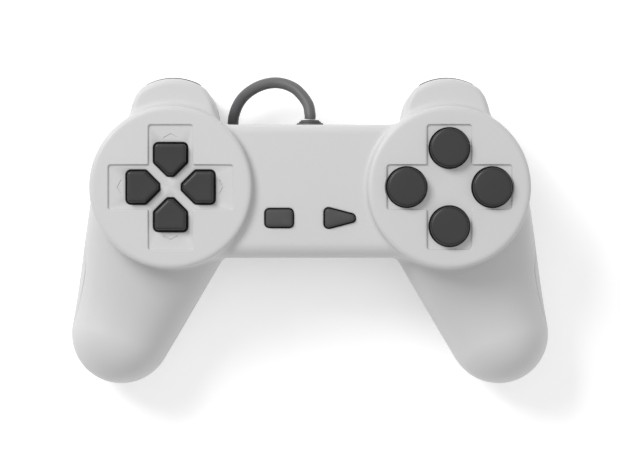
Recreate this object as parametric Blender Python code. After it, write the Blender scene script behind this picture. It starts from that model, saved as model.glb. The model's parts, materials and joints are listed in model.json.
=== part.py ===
"""A wired two-handed game controller, as separate solids.

Metres, +X to the player's right, +Y away from the player, +Z up. The controller rests on the
plane z = 0 on its two grip tips and the undersides of its two shoulder pods, and the origin is
on that plane under the middle of the controller.
"""

import math

import bmesh
import bpy
from mathutils import Matrix, Vector

# Overall size
WIDTH = 0.150
DEPTH = 0.095
DISC_TOP = 0.0445

# Housing
WALL = 0.0022
SEAM_GAP = 0.0003
SEAM_HEIGHT = 0.026
SEAM_TIP_HEIGHT = 0.013
SEAM_BEND_Y = -0.012
CLEARANCE = 0.0004
TOUCH_GAP = 0.0003
WELD = 0.00002
LOBE_X = 0.0424
LOBE_Y = 0.0138
LOBE_RADIUS = 0.0249
LOBE_RIM = 0.0018
UNDERSIDE = 0.0170
TIP_RADIUS = 0.0156
TIP_TOP = 0.0300
TIP_SINK = 0.0006
GRIP_TOP_STEP = 0.0022
GRIP_SQUARENESS = 2.4
BRIDGE_TOP_STEP = 0.0028
BRIDGE_FRONT_Y = -0.0078
BRIDGE_BACK_Y = 0.0330
BRIDGE_HALF_LENGTH = 0.0360
BRIDGE_FRONT_ROUND = 0.0034
BRIDGE_BACK_ROUND = 0.0018

# Shoulder pods and their triggers
POD_X = 0.0419
POD_BASE_Y = 0.0275
POD_TOP_STEP = 0.0035
POD_BASE_HALF_WIDTH = 0.0135
POD_HALF_WIDTH = 0.0120
POD_CORNER = 0.0060
POD_EDGE = 0.0016
TRIGGER_PROUD = 0.0013
TRIGGER_HALF_WIDTH = 0.0090
TRIGGER_BAR = 0.0020
TRIGGER_LIP = 0.0008
TRIGGER_DEPTH = 0.0100
TRIGGER_TRAVEL = 0.0015
TRIGGER_CORNER = 0.0032
TRIGGER_EDGE = 0.0005
TRIGGER_STEM_HALF_WIDTH = 0.0060

# Recessed panels, direction pad and face buttons
RECESS_DEPTH = 0.0008
RECESS_HALF_LENGTH = 0.0190
RECESS_HALF_WIDTH = 0.0068
RECESS_CORNER = 0.0012
PAD_PROUD = 0.0018
PAD_KEY_HALF_WIDTH = 0.00475
PAD_KEY_END = 0.0131
PAD_KEY_TIP = 0.0037
PAD_KEY_POINT = 0.0008
PAD_KEY_CORNER = 0.0010
PAD_KEY_EDGE = 0.0006
PAD_CLEARANCE = 0.0006
PAD_PLATE_RADIUS = 0.0145
PAD_PLATE_DROP = 0.0047
PAD_PLATE_THICKNESS = 0.0016
PIVOT_THICKNESS = 0.0014
PIVOT_RADIUS = 0.0040
PIVOT_GAP = 0.0005
BUTTON_RADIUS = 0.0059
BUTTON_REACH_X = 0.0130
BUTTON_REACH_Y = 0.0119
BUTTON_PROUD = 0.0025
BUTTON_TRAVEL = 0.0012
BUTTON_LIP = 0.0009

# Menu keys
MENU_Y = 0.0044
SELECT_X = -0.0094
SELECT_SIZE = (0.0082, 0.0053)
START_X = 0.0091
START_SIZE = (0.0091, 0.0058)
KEY_CORNER = 0.0011
MENU_PROUD = 0.0014
MENU_LIP = 0.0009
MENU_EDGE = 0.0005
MENU_TRAVEL = 0.0008

# Circuit boards and rubber mats
BOARD_THICKNESS = 0.0016
POD_BOARD_THICKNESS = 0.0014
BRACKET_THICKNESS = 0.0013
BOARD_DROP = 0.0105
BOARD_MARGIN = 0.0012
MAT_THICKNESS = 0.0011
DOME_REST = 0.0006
DOME_BASE = 0.0034
DOME_TOP = 0.0024

# Screws
SCREW_RADIUS = 0.0011
SCREW_HEAD_RADIUS = 0.0023
SCREW_HEAD = 0.0016
BOSS_RADIUS = 0.0032
BORE_RADIUS = SCREW_RADIUS + TOUCH_GAP
WELL_RADIUS = SCREW_HEAD_RADIUS + CLEARANCE
WELL_DEPTH = 0.0060
BORE_ROOF = 0.0040

# Cord
CORD_RADIUS = 0.00175
RELIEF_END = 0.0020
HANK_CENTRE_Y = 0.0098
HANK_STRAIGHT = 0.0600
HANK_INNER_RADIUS = 0.00875
HANK_OUTER_RADIUS = 0.01575
HANK_LOW = 0.0011
HANK_HIGH = 0.0146
TIE_X = -0.0140
TIE_WIDTH = 0.0060
TIE_THICKNESS = 0.0008
PLUG_Z = 0.0043

# Values that follow from the ones above
BRIDGE_TOP = DISC_TOP - BRIDGE_TOP_STEP
POD_TOP = DISC_TOP - POD_TOP_STEP
POD_FRONT_Y = DEPTH / 2 - TRIGGER_PROUD
GRIP_TOP = DISC_TOP - GRIP_TOP_STEP
TIP_X = WIDTH / 2 - TIP_RADIUS
TIP_Y = -DEPTH / 2 + TIP_RADIUS
GRIP_AXIS = Vector((TIP_X - LOBE_X, TIP_Y - LOBE_Y, 0))
ROOF = DISC_TOP - WALL
BOARD_TOP = DISC_TOP - BOARD_DROP
BOARD_LOW = BOARD_TOP - BOARD_THICKNESS
MAT_LOW = BOARD_TOP + TOUCH_GAP
MAT_TOP = MAT_LOW + MAT_THICKNESS
BUTTON_LOW = MAT_TOP + TOUCH_GAP + BUTTON_TRAVEL + DOME_REST
PAD_PLATE_TOP = DISC_TOP - PAD_PLATE_DROP
PAD_PLATE_LOW = PAD_PLATE_TOP - PAD_PLATE_THICKNESS
PIVOT_TOP = PAD_PLATE_LOW - PIVOT_GAP
PIVOT_LOW = PIVOT_TOP - PIVOT_THICKNESS
PIVOT_HEIGHT = PIVOT_TOP - 0.0002
POST_TOP = PIVOT_LOW - PIVOT_GAP
MENU_LOW = MAT_TOP + TOUCH_GAP + MENU_TRAVEL
MENU_ROOF = BRIDGE_TOP - WALL
TRIGGER_BACK_Y = DEPTH / 2 - TRIGGER_DEPTH
POD_MAT_TOP_Y = TRIGGER_BACK_Y - TRIGGER_TRAVEL - DOME_REST
POD_MAT_LOW_Y = POD_MAT_TOP_Y - MAT_THICKNESS
POD_BOARD_Y = POD_MAT_LOW_Y - TOUCH_GAP - POD_BOARD_THICKNESS
POD_BRACKET_Y = POD_BOARD_Y - TOUCH_GAP - BRACKET_THICKNESS
BOARD_BACK_Y = min(POD_BRACKET_Y, BRIDGE_BACK_Y - WALL) - 0.0006
UPPER_LOW = SEAM_HEIGHT + TRIGGER_BAR
UPPER_HIGH = POD_TOP - WALL - TRIGGER_LIP
LOWER_LOW = WALL + TRIGGER_LIP
LOWER_HIGH = SEAM_HEIGHT - TRIGGER_BAR
SCREW_PLACES = {
    "screw_left_grip": (-0.92 * TIP_X, TIP_Y + 0.0085),
    "screw_right_grip": (0.92 * TIP_X, TIP_Y + 0.0085),
    "screw_left_back": (-0.0170, BRIDGE_BACK_Y - WALL - 0.0045),
    "screw_right_back": (0.0170, BRIDGE_BACK_Y - WALL - 0.0045),
    "screw_centre": (0.0, 0.0135),
}


# ---------------------------------------------------------------- shapes


def arc(centre, radius, start, end, steps):
    """Points on an arc, angles in degrees."""
    for step in range(steps + 1):
        angle = math.radians(start + (end - start) * step / steps)
        yield (centre[0] + radius * math.cos(angle), centre[1] + radius * math.sin(angle))


def rounded_rectangle(half_width, low, high, corner, steps=3):
    """Outline of a rectangle from y = low to y = high, with four round corners."""
    outline = []
    corners = (
        (half_width - corner, high - corner, 0),
        (corner - half_width, high - corner, 90),
        (corner - half_width, low + corner, 180),
        (half_width - corner, low + corner, 270),
    )
    for x, y, start in corners:
        outline.extend(arc((x, y), corner, start, start + 90, steps))
    return outline


def prism(outline, low, high):
    """A closed outline in X and Y, extruded from z = low to z = high."""
    shape = bmesh.new()
    face = shape.faces.new([shape.verts.new((x, y, low)) for x, y in outline])
    extruded = bmesh.ops.extrude_face_region(shape, geom=[face])
    raised = [part for part in extruded["geom"] if isinstance(part, bmesh.types.BMVert)]
    bmesh.ops.translate(shape, verts=raised, vec=(0, 0, high - low))
    return shape


def softened_prism(outline, low, high, edge, steps=2):
    """A prism whose two end rims are bevelled by edge."""
    shape = prism(outline, low, high)
    rims = [
        rim
        for rim in shape.edges
        if abs(rim.verts[0].co.z - rim.verts[1].co.z) < edge / 10
    ]
    bmesh.ops.bevel(shape, geom=rims, offset=edge, segments=steps, affect="EDGES", profile=0.5)
    return shape


def turned(profile, steps):
    """A (radius, z) profile, from axis to axis, spun about Z. A flat end becomes one face."""
    if profile[0][1] == profile[1][1]:
        profile = profile[1:]
    if profile[-1][1] == profile[-2][1]:
        profile = profile[:-1]
    shape = bmesh.new()
    points = [shape.verts.new((radius, 0, z)) for radius, z in profile]
    edges = [shape.edges.new(pair) for pair in zip(points, points[1:])]
    bmesh.ops.spin(
        shape,
        geom=points + edges,
        cent=(0, 0, 0),
        axis=(0, 0, 1),
        angle=math.tau,
        steps=steps,
        use_merge=True,
    )
    bmesh.ops.remove_doubles(shape, verts=shape.verts, dist=WELD)
    bmesh.ops.holes_fill(shape, edges=shape.edges, sides=0)
    return shape


def block(low, high, edge=0.0, steps=2):
    """A box between two corners, its edges bevelled by edge."""
    low, high = Vector(low), Vector(high)
    shape = bmesh.new()
    matrix = Matrix.Translation((low + high) / 2) @ Matrix.Diagonal((*(high - low), 1))
    bmesh.ops.create_cube(shape, size=1, matrix=matrix)
    if edge:
        bmesh.ops.bevel(
            shape, geom=shape.edges[:], offset=edge, segments=steps, affect="EDGES", profile=0.5
        )
    return shape


def loft(rings):
    """Equal rings of points joined one to the next, with both ends filled."""
    shape = bmesh.new()
    loops = [[shape.verts.new(point) for point in ring] for ring in rings]
    for loop in loops:
        for first, second in zip(loop, loop[1:] + loop[:1]):
            shape.edges.new((first, second))
    count = len(loops[0])
    for lower, upper in zip(loops, loops[1:]):
        for index in range(count):
            after = (index + 1) % count
            shape.faces.new((lower[index], lower[after], upper[after], upper[index]))
    shape.faces.new(loops[0])
    shape.faces.new(loops[-1])
    return shape


def cylinder(radius, low, high, steps=24):
    """A closed cylinder about Z."""
    return turned([(0, low), (radius, low), (radius, high), (0, high)], steps)


def turn_to_y(shape):
    """Turn a shape made about Z so that its axis runs along +Y."""
    bmesh.ops.rotate(shape, verts=shape.verts, matrix=Matrix.Rotation(-math.pi / 2, 3, "X"))
    return shape


# ---------------------------------------------------------------- objects


def add_object(name, shape, location=(0, 0, 0)):
    """Put a bmesh in the scene as an object with outward faces."""
    bmesh.ops.recalc_face_normals(shape, faces=shape.faces)
    mesh = bpy.data.meshes.new(name)
    shape.to_mesh(mesh)
    shape.free()
    obj = bpy.data.objects.new(name, mesh)
    obj.location = location
    bpy.context.scene.collection.objects.link(obj)
    return obj


def combine(target, operation, shapes):
    """Apply one Boolean for each (shape, location) to the target object."""
    for shape, location in shapes:
        tool = add_object("tool", shape, location)
        tool.hide_render = True
        tool.display_type = "WIRE"
        modifier = target.modifiers.new("combine", "BOOLEAN")
        modifier.operation = operation
        modifier.object = tool
        graph = bpy.context.evaluated_depsgraph_get()
        result = bmesh.new()
        result.from_object(target, graph)
        target.modifiers.clear()
        bpy.data.objects.remove(tool)
        bmesh.ops.remove_doubles(result, verts=result.verts, dist=WELD)
        bmesh.ops.dissolve_degenerate(result, edges=result.edges, dist=WELD)
        result.to_mesh(target.data)
        result.free()
    return target


def bmesh_of(obj):
    """The object's mesh as a bmesh, after which the object is deleted."""
    shape = bmesh.new()
    shape.from_mesh(obj.data)
    bpy.data.objects.remove(obj)
    return shape


def finish(obj, colour, roughness, metallic=0.0, parent=None):
    """Give the object its own material, smooth shading and parent."""
    material = bpy.data.materials.new(obj.name)
    material.use_nodes = True
    shader = material.node_tree.nodes["Principled BSDF"]
    shader.inputs["Base Color"].default_value = (*colour, 1)
    shader.inputs["Roughness"].default_value = roughness
    shader.inputs["Metallic"].default_value = metallic
    obj.data.materials.clear()
    obj.data.materials.append(material)
    if obj.type == "MESH":
        obj.data.shade_smooth()
        obj.data.set_sharp_from_angle(angle=math.radians(35))
    obj.parent = parent
    return obj


def add_frame(name, location):
    """An empty that carries a group of pieces."""
    frame = bpy.data.objects.new(name, None)
    frame.location = location
    frame.empty_display_size = 0.01
    bpy.context.scene.collection.objects.link(frame)
    return frame


LIGHT_GREY = (0.58, 0.58, 0.585)
DARK_GREY = (0.045, 0.045, 0.046)
KEY_GREY = (0.085, 0.085, 0.087)
RUBBER_GREY = (0.30, 0.30, 0.31)
CORD_GREY = (0.035, 0.035, 0.036)
BOARD_TAN = (0.35, 0.22, 0.08)
STEEL = (0.62, 0.62, 0.64)


# ---------------------------------------------------------------- housing


def lobe_shape(inset):
    """The round drum under a disc, inset on every side."""
    radius = LOBE_RADIUS - inset
    low = UNDERSIDE + inset
    high = DISC_TOP - inset
    rim = LOBE_RIM
    profile = [(0, low), (radius - 2 * rim, low), (radius - 0.5 * rim, low + 0.6 * rim)]
    profile += [(radius, low + 2 * rim), (radius, high - rim)]
    profile += [(radius - 0.3 * rim, high - 0.3 * rim), (radius - rim, high), (0, high)]
    return turned(profile, 32)


def ease(value):
    """Smooth step from 0 to 1."""
    value = min(max(value, 0.0), 1.0)
    return value * value * (3 - 2 * value)


def grip_stations(inset):
    """(distance along the axis, half width, top, bottom) of each section of a grip."""
    length = GRIP_AXIS.length
    slant = math.asin((LOBE_RADIUS - TIP_RADIUS) / length)
    lobe_radius = LOBE_RADIUS - inset
    tip_radius = TIP_RADIUS - inset
    start = lobe_radius * math.sin(slant)
    end = length + tip_radius * math.sin(slant)
    underside = UNDERSIDE + 0.0004
    stations = []
    sections = 7
    for index in range(sections):
        along = start + (end - start) * index / sections
        half_width = (lobe_radius - along * math.sin(slant)) / math.cos(slant)
        top = GRIP_TOP + (TIP_TOP - GRIP_TOP) * ease(along / length)
        low = underside - (underside + TIP_SINK) * ease((along - 0.010) / (length - 0.010))
        stations.append((along, half_width - 0.0003 * (index == 0), top - inset, low + inset))
    middle = (TIP_TOP - TIP_SINK) / 2
    half_height = (TIP_TOP + TIP_SINK) / 2 - inset
    for angle in (slant, 0.45, 0.78, 1.08, 1.32, 1.48):
        along = length + tip_radius * math.sin(angle)
        rise = half_height * math.cos(angle) / math.cos(slant)
        stations.append((along, tip_radius * math.cos(angle), middle + rise, middle - rise))
    return stations


def grip_shape(side, inset):
    """A grip lofted from superellipse sections square to its axis."""
    along_axis = GRIP_AXIS.normalized()
    across = Vector((-along_axis.y, along_axis.x, 0))
    power = 2 / GRIP_SQUARENESS
    rings = []
    for along, half_width, top, low in grip_stations(inset):
        ring = []
        for step in range(18):
            angle = math.tau * step / 18
            wide = math.copysign(abs(math.cos(angle)) ** power, math.cos(angle))
            tall = math.copysign(abs(math.sin(angle)) ** power, math.sin(angle))
            point = along_axis * along + across * (half_width * wide)
            height = (top + low) / 2 + (top - low) / 2 * tall
            ring.append((side * (LOBE_X + point.x), LOBE_Y + point.y, height))
        rings.append(ring)
    return loft(rings)


def bridge_shape(inset):
    """The middle of the housing: an outline in Y and Z, extruded along X."""
    front = BRIDGE_FRONT_Y + inset
    back = BRIDGE_BACK_Y - inset
    low = UNDERSIDE + 0.0003 + inset
    high = BRIDGE_TOP - inset
    front_round = BRIDGE_FRONT_ROUND
    back_round = BRIDGE_BACK_ROUND
    outline = list(arc((back - back_round, high - back_round), back_round, 0, 90, 3))
    outline += arc((front + front_round, high - front_round), front_round, 90, 180, 4)
    outline += arc((front + front_round, low + front_round), front_round, 180, 270, 3)
    outline += arc((back - back_round, low + back_round), back_round, 270, 360, 3)
    shape = prism(outline, -BRIDGE_HALF_LENGTH, BRIDGE_HALF_LENGTH)
    turn = Matrix(((0, 0, 1), (1, 0, 0), (0, 1, 0)))
    bmesh.ops.transform(shape, verts=shape.verts, matrix=turn.to_4x4())
    return shape


def pod_outline(inset):
    """Plan of a shoulder pod, wider at its base, with round front corners."""
    corner = POD_CORNER - inset
    half = POD_HALF_WIDTH - inset
    base = POD_BASE_HALF_WIDTH - inset
    front = POD_FRONT_Y - inset
    outline = [(-base, POD_BASE_Y + inset), (base, POD_BASE_Y + inset)]
    outline += arc((half - corner, front - corner), corner, 0, 90, 5)
    outline += arc((corner - half, front - corner), corner, 90, 180, 5)
    return outline


def pod_shape(inset):
    """A shoulder pod, from the table to its roof."""
    edge = max(POD_EDGE - inset, 0.0003)
    return softened_prism(pod_outline(inset), inset, POD_TOP - inset, edge)


def body_shapes(inset):
    """The (shape, location) of every part of the housing's body but the first lobe."""
    shapes = [(lobe_shape(inset), (LOBE_X, LOBE_Y, 0)), (bridge_shape(inset), (0, 0, 0))]
    for side in (-1, 1):
        shapes.append((grip_shape(side, inset), (0, 0, 0)))
        shapes.append((pod_shape(inset), (side * POD_X, 0, 0)))
    return shapes


def body(inset):
    """The whole body as one object."""
    target = add_object("body", lobe_shape(inset), (-LOBE_X, LOBE_Y, 0))
    bpy.context.view_layer.update()
    return combine(target, "UNION", body_shapes(inset))


def to_world(obj):
    """The object's mesh as a bmesh in world coordinates; the object is deleted."""
    matrix = Matrix.Translation(obj.location)
    shape = bmesh_of(obj)
    bmesh.ops.transform(shape, verts=shape.verts, matrix=matrix)
    return shape


def seam_side(direction):
    """All the space above (1) or below (-1) the seam, up to half the seam gap."""
    offset = direction * SEAM_GAP / 2
    far = WIDTH
    outline = [
        (far, SEAM_HEIGHT + offset),
        (SEAM_BEND_Y, SEAM_HEIGHT + offset),
        (-DEPTH / 2, SEAM_TIP_HEIGHT + offset),
        (-far, SEAM_TIP_HEIGHT + offset),
        (-far, direction * far),
        (far, direction * far),
    ]
    shape = prism(outline, -WIDTH, WIDTH)
    turn = Matrix(((0, 0, 1), (1, 0, 0), (0, 1, 0)))
    bmesh.ops.transform(shape, verts=shape.verts, matrix=turn.to_4x4())
    return shape


def pad_key_outline(grow):
    """Plan of one direction key pointing along +Y, grown by a clearance."""
    half = PAD_KEY_HALF_WIDTH + grow
    end = PAD_KEY_END + grow
    corner = PAD_KEY_CORNER
    point = PAD_KEY_POINT + grow * (math.sqrt(2) - 1)
    tip = PAD_KEY_TIP - grow
    outline = list(arc((half - corner, end - corner), corner, 0, 90, 2))
    outline += arc((corner - half, end - corner), corner, 90, 180, 2)
    outline += [(-half, tip + half - point), (-point, tip), (point, tip)]
    outline.append((half, tip + half - point))
    return outline


def recess_shapes():
    """The two crossing slots of a recessed panel."""
    long_way = rounded_rectangle(
        RECESS_HALF_WIDTH, -RECESS_HALF_LENGTH, RECESS_HALF_LENGTH, RECESS_CORNER, 2
    )
    cross_way = [(y, -x) for x, y in long_way]
    floor = DISC_TOP - RECESS_DEPTH
    return [prism(long_way, floor, DISC_TOP + 0.002), prism(cross_way, floor, DISC_TOP + 0.002)]


def start_outline(grow):
    """A triangle that points along +X, with round corners."""
    half_length, half_width = START_SIZE[0] / 2, START_SIZE[1] / 2
    radius = KEY_CORNER
    outline = []
    corners = (
        (half_length - radius, 0, 0),
        (radius - half_length, half_width - radius, 118),
        (radius - half_length, radius - half_width, 242),
    )
    for x, y, middle in corners:
        outline += arc((x, y), radius + grow, middle - 58, middle + 58, 4)
    return outline


def select_outline(grow):
    """A rectangle with round corners."""
    half, rise = SELECT_SIZE[0] / 2 + grow, SELECT_SIZE[1] / 2 + grow
    return rounded_rectangle(half, -rise, rise, KEY_CORNER + grow, 3)


def trigger_opening(low, high):
    """The window in a pod's front wall for one trigger."""
    half = TRIGGER_HALF_WIDTH + CLEARANCE
    back = POD_FRONT_Y - WALL - 0.0030
    return block((-half, back, low), (half, DEPTH, high))


def button_places():
    """Centres of the four face buttons, by name."""
    return {
        "button_north": (LOBE_X, LOBE_Y + BUTTON_REACH_Y),
        "button_south": (LOBE_X, LOBE_Y - BUTTON_REACH_Y),
        "button_east": (LOBE_X + BUTTON_REACH_X, LOBE_Y),
        "button_west": (LOBE_X - BUTTON_REACH_X, LOBE_Y),
    }


def screw_level(name):
    """Height of the top of the well that takes this screw's head."""
    if "grip" in name:
        return WELL_DEPTH + 0.0020
    return UNDERSIDE + WELL_DEPTH


def screw_reach(name):
    """Height of the top of this screw's bore, inside its front boss."""
    if "grip" in name:
        return TIP_TOP - BORE_ROOF
    return MENU_ROOF - 0.0010


def add_shells(frame):
    """The front and rear halves of the housing."""
    core = body(WALL)
    columns = []
    for x, y in SCREW_PLACES.values():
        columns.append((cylinder(BOSS_RADIUS, -0.001, DISC_TOP + 0.001, 12), (x, y, 0)))
    combine(core, "DIFFERENCE", columns)
    core_shape = to_world(core)
    outer = body(0.0)
    table = block((-WIDTH, -DEPTH, -0.01), (WIDTH, DEPTH, 0.0))
    combine(outer, "DIFFERENCE", [(table, (0, 0, 0)), (core_shape, (0, 0, 0))])
    relief_hole = turn_to_y(cylinder(0.0037, -0.004, 0.004, 16))
    drills = [(relief_hole, (0, BRIDGE_BACK_Y, SEAM_HEIGHT))]
    for name, (x, y) in SCREW_PLACES.items():
        drills.append((cylinder(BORE_RADIUS, -0.01, screw_reach(name), 8), (x, y, 0)))
        drills.append((cylinder(WELL_RADIUS, -0.01, screw_level(name), 12), (x, y, 0)))
    combine(outer, "DIFFERENCE", drills)
    whole = to_world(outer)

    front = add_object("front_shell", whole.copy())
    rear = add_object("rear_shell", whole)
    combine(front, "INTERSECT", [(seam_side(1), (0, 0, 0))])
    combine(rear, "INTERSECT", [(seam_side(-1), (0, 0, 0))])

    cuts = []
    for side in (-1, 1):
        centre = (side * LOBE_X, LOBE_Y, 0)
        cuts += [(shape, centre) for shape in recess_shapes()]
        cuts.append((trigger_opening(UPPER_LOW, UPPER_HIGH), (side * POD_X, 0, 0)))
    for turn in range(4):
        key = prism(pad_key_outline(PAD_CLEARANCE), ROOF - 0.002, DISC_TOP + 0.002)
        bmesh.ops.rotate(
            key, verts=key.verts, matrix=Matrix.Rotation(turn * math.pi / 2, 3, "Z")
        )
        cuts.append((key, (-LOBE_X, LOBE_Y, 0)))
    for x, y in button_places().values():
        hole = cylinder(BUTTON_RADIUS + CLEARANCE, ROOF - 0.002, DISC_TOP + 0.002, 24)
        cuts.append((hole, (x, y, 0)))
    for x, outline in ((SELECT_X, select_outline), (START_X, start_outline)):
        hole = prism(outline(CLEARANCE), MENU_ROOF - 0.002, BRIDGE_TOP + 0.002)
        cuts.append((hole, (x, MENU_Y, 0)))
    combine(front, "DIFFERENCE", cuts)

    windows = []
    for side in (-1, 1):
        windows.append((trigger_opening(LOWER_LOW, LOWER_HIGH), (side * POD_X, 0, 0)))
    combine(rear, "DIFFERENCE", windows)
    post = cylinder(0.0022, UNDERSIDE + WALL / 2, POST_TOP, 16)
    combine(rear, "UNION", [(post, (-LOBE_X, LOBE_Y, 0))])
    finish(front, LIGHT_GREY, 0.42, parent=frame)
    finish(rear, LIGHT_GREY, 0.45, parent=frame)


def add_screws(frame):
    """Pan head screws that hold the rear shell to the front bosses."""
    for name, (x, y) in SCREW_PLACES.items():
        level = screw_level(name) - TOUCH_GAP
        reach = screw_reach(name) - 0.0010
        profile = [(0, level - SCREW_HEAD), (0.8 * SCREW_HEAD_RADIUS, level - SCREW_HEAD)]
        profile += [(SCREW_HEAD_RADIUS, level - 0.5 * SCREW_HEAD), (SCREW_HEAD_RADIUS, level)]
        profile += [(SCREW_RADIUS, level), (SCREW_RADIUS, reach - 0.001), (0, reach)]
        screw = add_object(name, turned(profile, 12), (x, y, 0))
        slots = []
        for half_x, half_y in ((0.0014, 0.0003), (0.0003, 0.0014)):
            low = (-half_x, -half_y, level - 2 * SCREW_HEAD)
            slots.append((block(low, (half_x, half_y, level - 0.6 * SCREW_HEAD)), (x, y, 0)))
        combine(screw, "DIFFERENCE", slots)
        finish(screw, STEEL, 0.32, 1.0, frame)


# ---------------------------------------------------------------- inside


def add_main_board(frame):
    """The main circuit board, clear of the screw bosses and the pad's post."""
    disc = cylinder(LOBE_RADIUS - WALL - BOARD_MARGIN, BOARD_LOW, BOARD_TOP, 36)
    board = add_object("main_board", disc, (-LOBE_X, LOBE_Y, 0))
    other = cylinder(LOBE_RADIUS - WALL - BOARD_MARGIN, BOARD_LOW, BOARD_TOP, 36)
    front = BRIDGE_FRONT_Y + WALL + BOARD_MARGIN
    back = BRIDGE_BACK_Y - WALL - BOARD_MARGIN
    bar = block(
        (-BRIDGE_HALF_LENGTH, front, BOARD_LOW), (BRIDGE_HALF_LENGTH, back, BOARD_TOP)
    )
    combine(board, "UNION", [(other, (LOBE_X, LOBE_Y, 0)), (bar, (0, 0, 0))])
    trim = block((-WIDTH, BOARD_BACK_Y, 0), (WIDTH, DEPTH, DISC_TOP))
    holes = [(trim, (0, 0, 0))]
    holes.append((cylinder(0.0030, 0, DISC_TOP, 16), (-LOBE_X, LOBE_Y, 0)))
    for name, (x, y) in SCREW_PLACES.items():
        if "grip" not in name:
            holes.append((cylinder(BOSS_RADIUS + 0.0006, 0, DISC_TOP, 16), (x, y, 0)))
    combine(board, "DIFFERENCE", holes)
    finish(board, BOARD_TAN, 0.5, parent=frame)


def add_board_parts(frame):
    """What is soldered under the main board, and the cord's end at its header."""
    under = BOARD_LOW - TOUCH_GAP
    blob = [(0, under), (0.0060, under), (0.0056, under - 0.0008), (0.0035, under - 0.0016)]
    blob.append((0, under - 0.0019))
    chip = add_object("controller_chip", turned(blob[::-1], 24), (-0.0075, 0.0030, 0))
    finish(chip, (0.012, 0.012, 0.013), 0.35, parent=frame)
    can = [(0, under - 0.0070), (0.0022, under - 0.0070), (0.0025, under - 0.0066)]
    can += [(0.0025, under - 0.0003), (0.0022, under), (0, under)]
    capacitor = add_object("filter_capacitor", turned(can, 20), (0.0090, 0.0230, 0))
    finish(capacitor, (0.05, 0.07, 0.16), 0.35, parent=frame)
    size = ((0.0050, 0.0010, under - 0.0045), (0.0120, 0.0040, under))
    resonator = add_object("clock_resonator", block(*size, 0.0006))
    finish(resonator, (0.55, 0.24, 0.03), 0.4, parent=frame)
    size = ((-0.0060, 0.0185, under - 0.0060), (0.0060, 0.0225, under))
    header = add_object("cord_header", block(*size, 0.0003, 1))
    finish(header, (0.75, 0.74, 0.70), 0.45, parent=frame)


def dome_mat(outline, domes, height, hole=None):
    """A rubber sheet with raised domes; places are about its own centre."""
    sheet = add_object("sheet", prism(outline, 0, MAT_THICKNESS))
    shapes = []
    for x, y in domes:
        low = MAT_THICKNESS / 2
        shapes.append((turned([(0, low), (DOME_BASE, low), (DOME_TOP, height), (0, height)], 14), (x, y, 0)))
    combine(sheet, "UNION", shapes)
    if hole:
        combine(sheet, "DIFFERENCE", [(cylinder(hole, -0.001, height, 16), (0, 0, 0))])
    return bmesh_of(sheet)


def add_mats(frame):
    """The rubber dome mats between the board and the keys."""
    reach = 0.0090
    places = [(reach, 0), (0, reach), (-reach, 0), (0, -reach)]
    outline = list(arc((0, 0), PAD_PLATE_RADIUS, 0, 345, 23))
    height = PAD_PLATE_LOW - TOUCH_GAP - MAT_LOW
    mat = add_object("dpad_mat", dome_mat(outline, places, height, 0.0027), (-LOBE_X, LOBE_Y, MAT_LOW))
    finish(mat, RUBBER_GREY, 0.6, parent=frame)
    places = [(x - LOBE_X, y - LOBE_Y) for x, y in button_places().values()]
    outline = list(arc((0, 0), BUTTON_REACH_X + DOME_BASE - 0.0001, 0, 345, 23))
    height = BUTTON_LOW - TOUCH_GAP - MAT_LOW
    mat = add_object("action_mat", dome_mat(outline, places, height), (LOBE_X, LOBE_Y, MAT_LOW))
    finish(mat, RUBBER_GREY, 0.6, parent=frame)
    places = [(SELECT_X, 0), (START_X, 0)]
    middle = (SELECT_X + START_X) / 2
    strip = rounded_rectangle(0.0140, -0.0045, 0.0045, 0.0015, 2)
    outline = [(x + middle, y) for x, y in strip]
    height = MENU_LOW - TOUCH_GAP - MAT_LOW
    mat = add_object("menu_mat", dome_mat(outline, places, height), (0, MENU_Y, MAT_LOW))
    finish(mat, RUBBER_GREY, 0.6, parent=frame)


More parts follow.
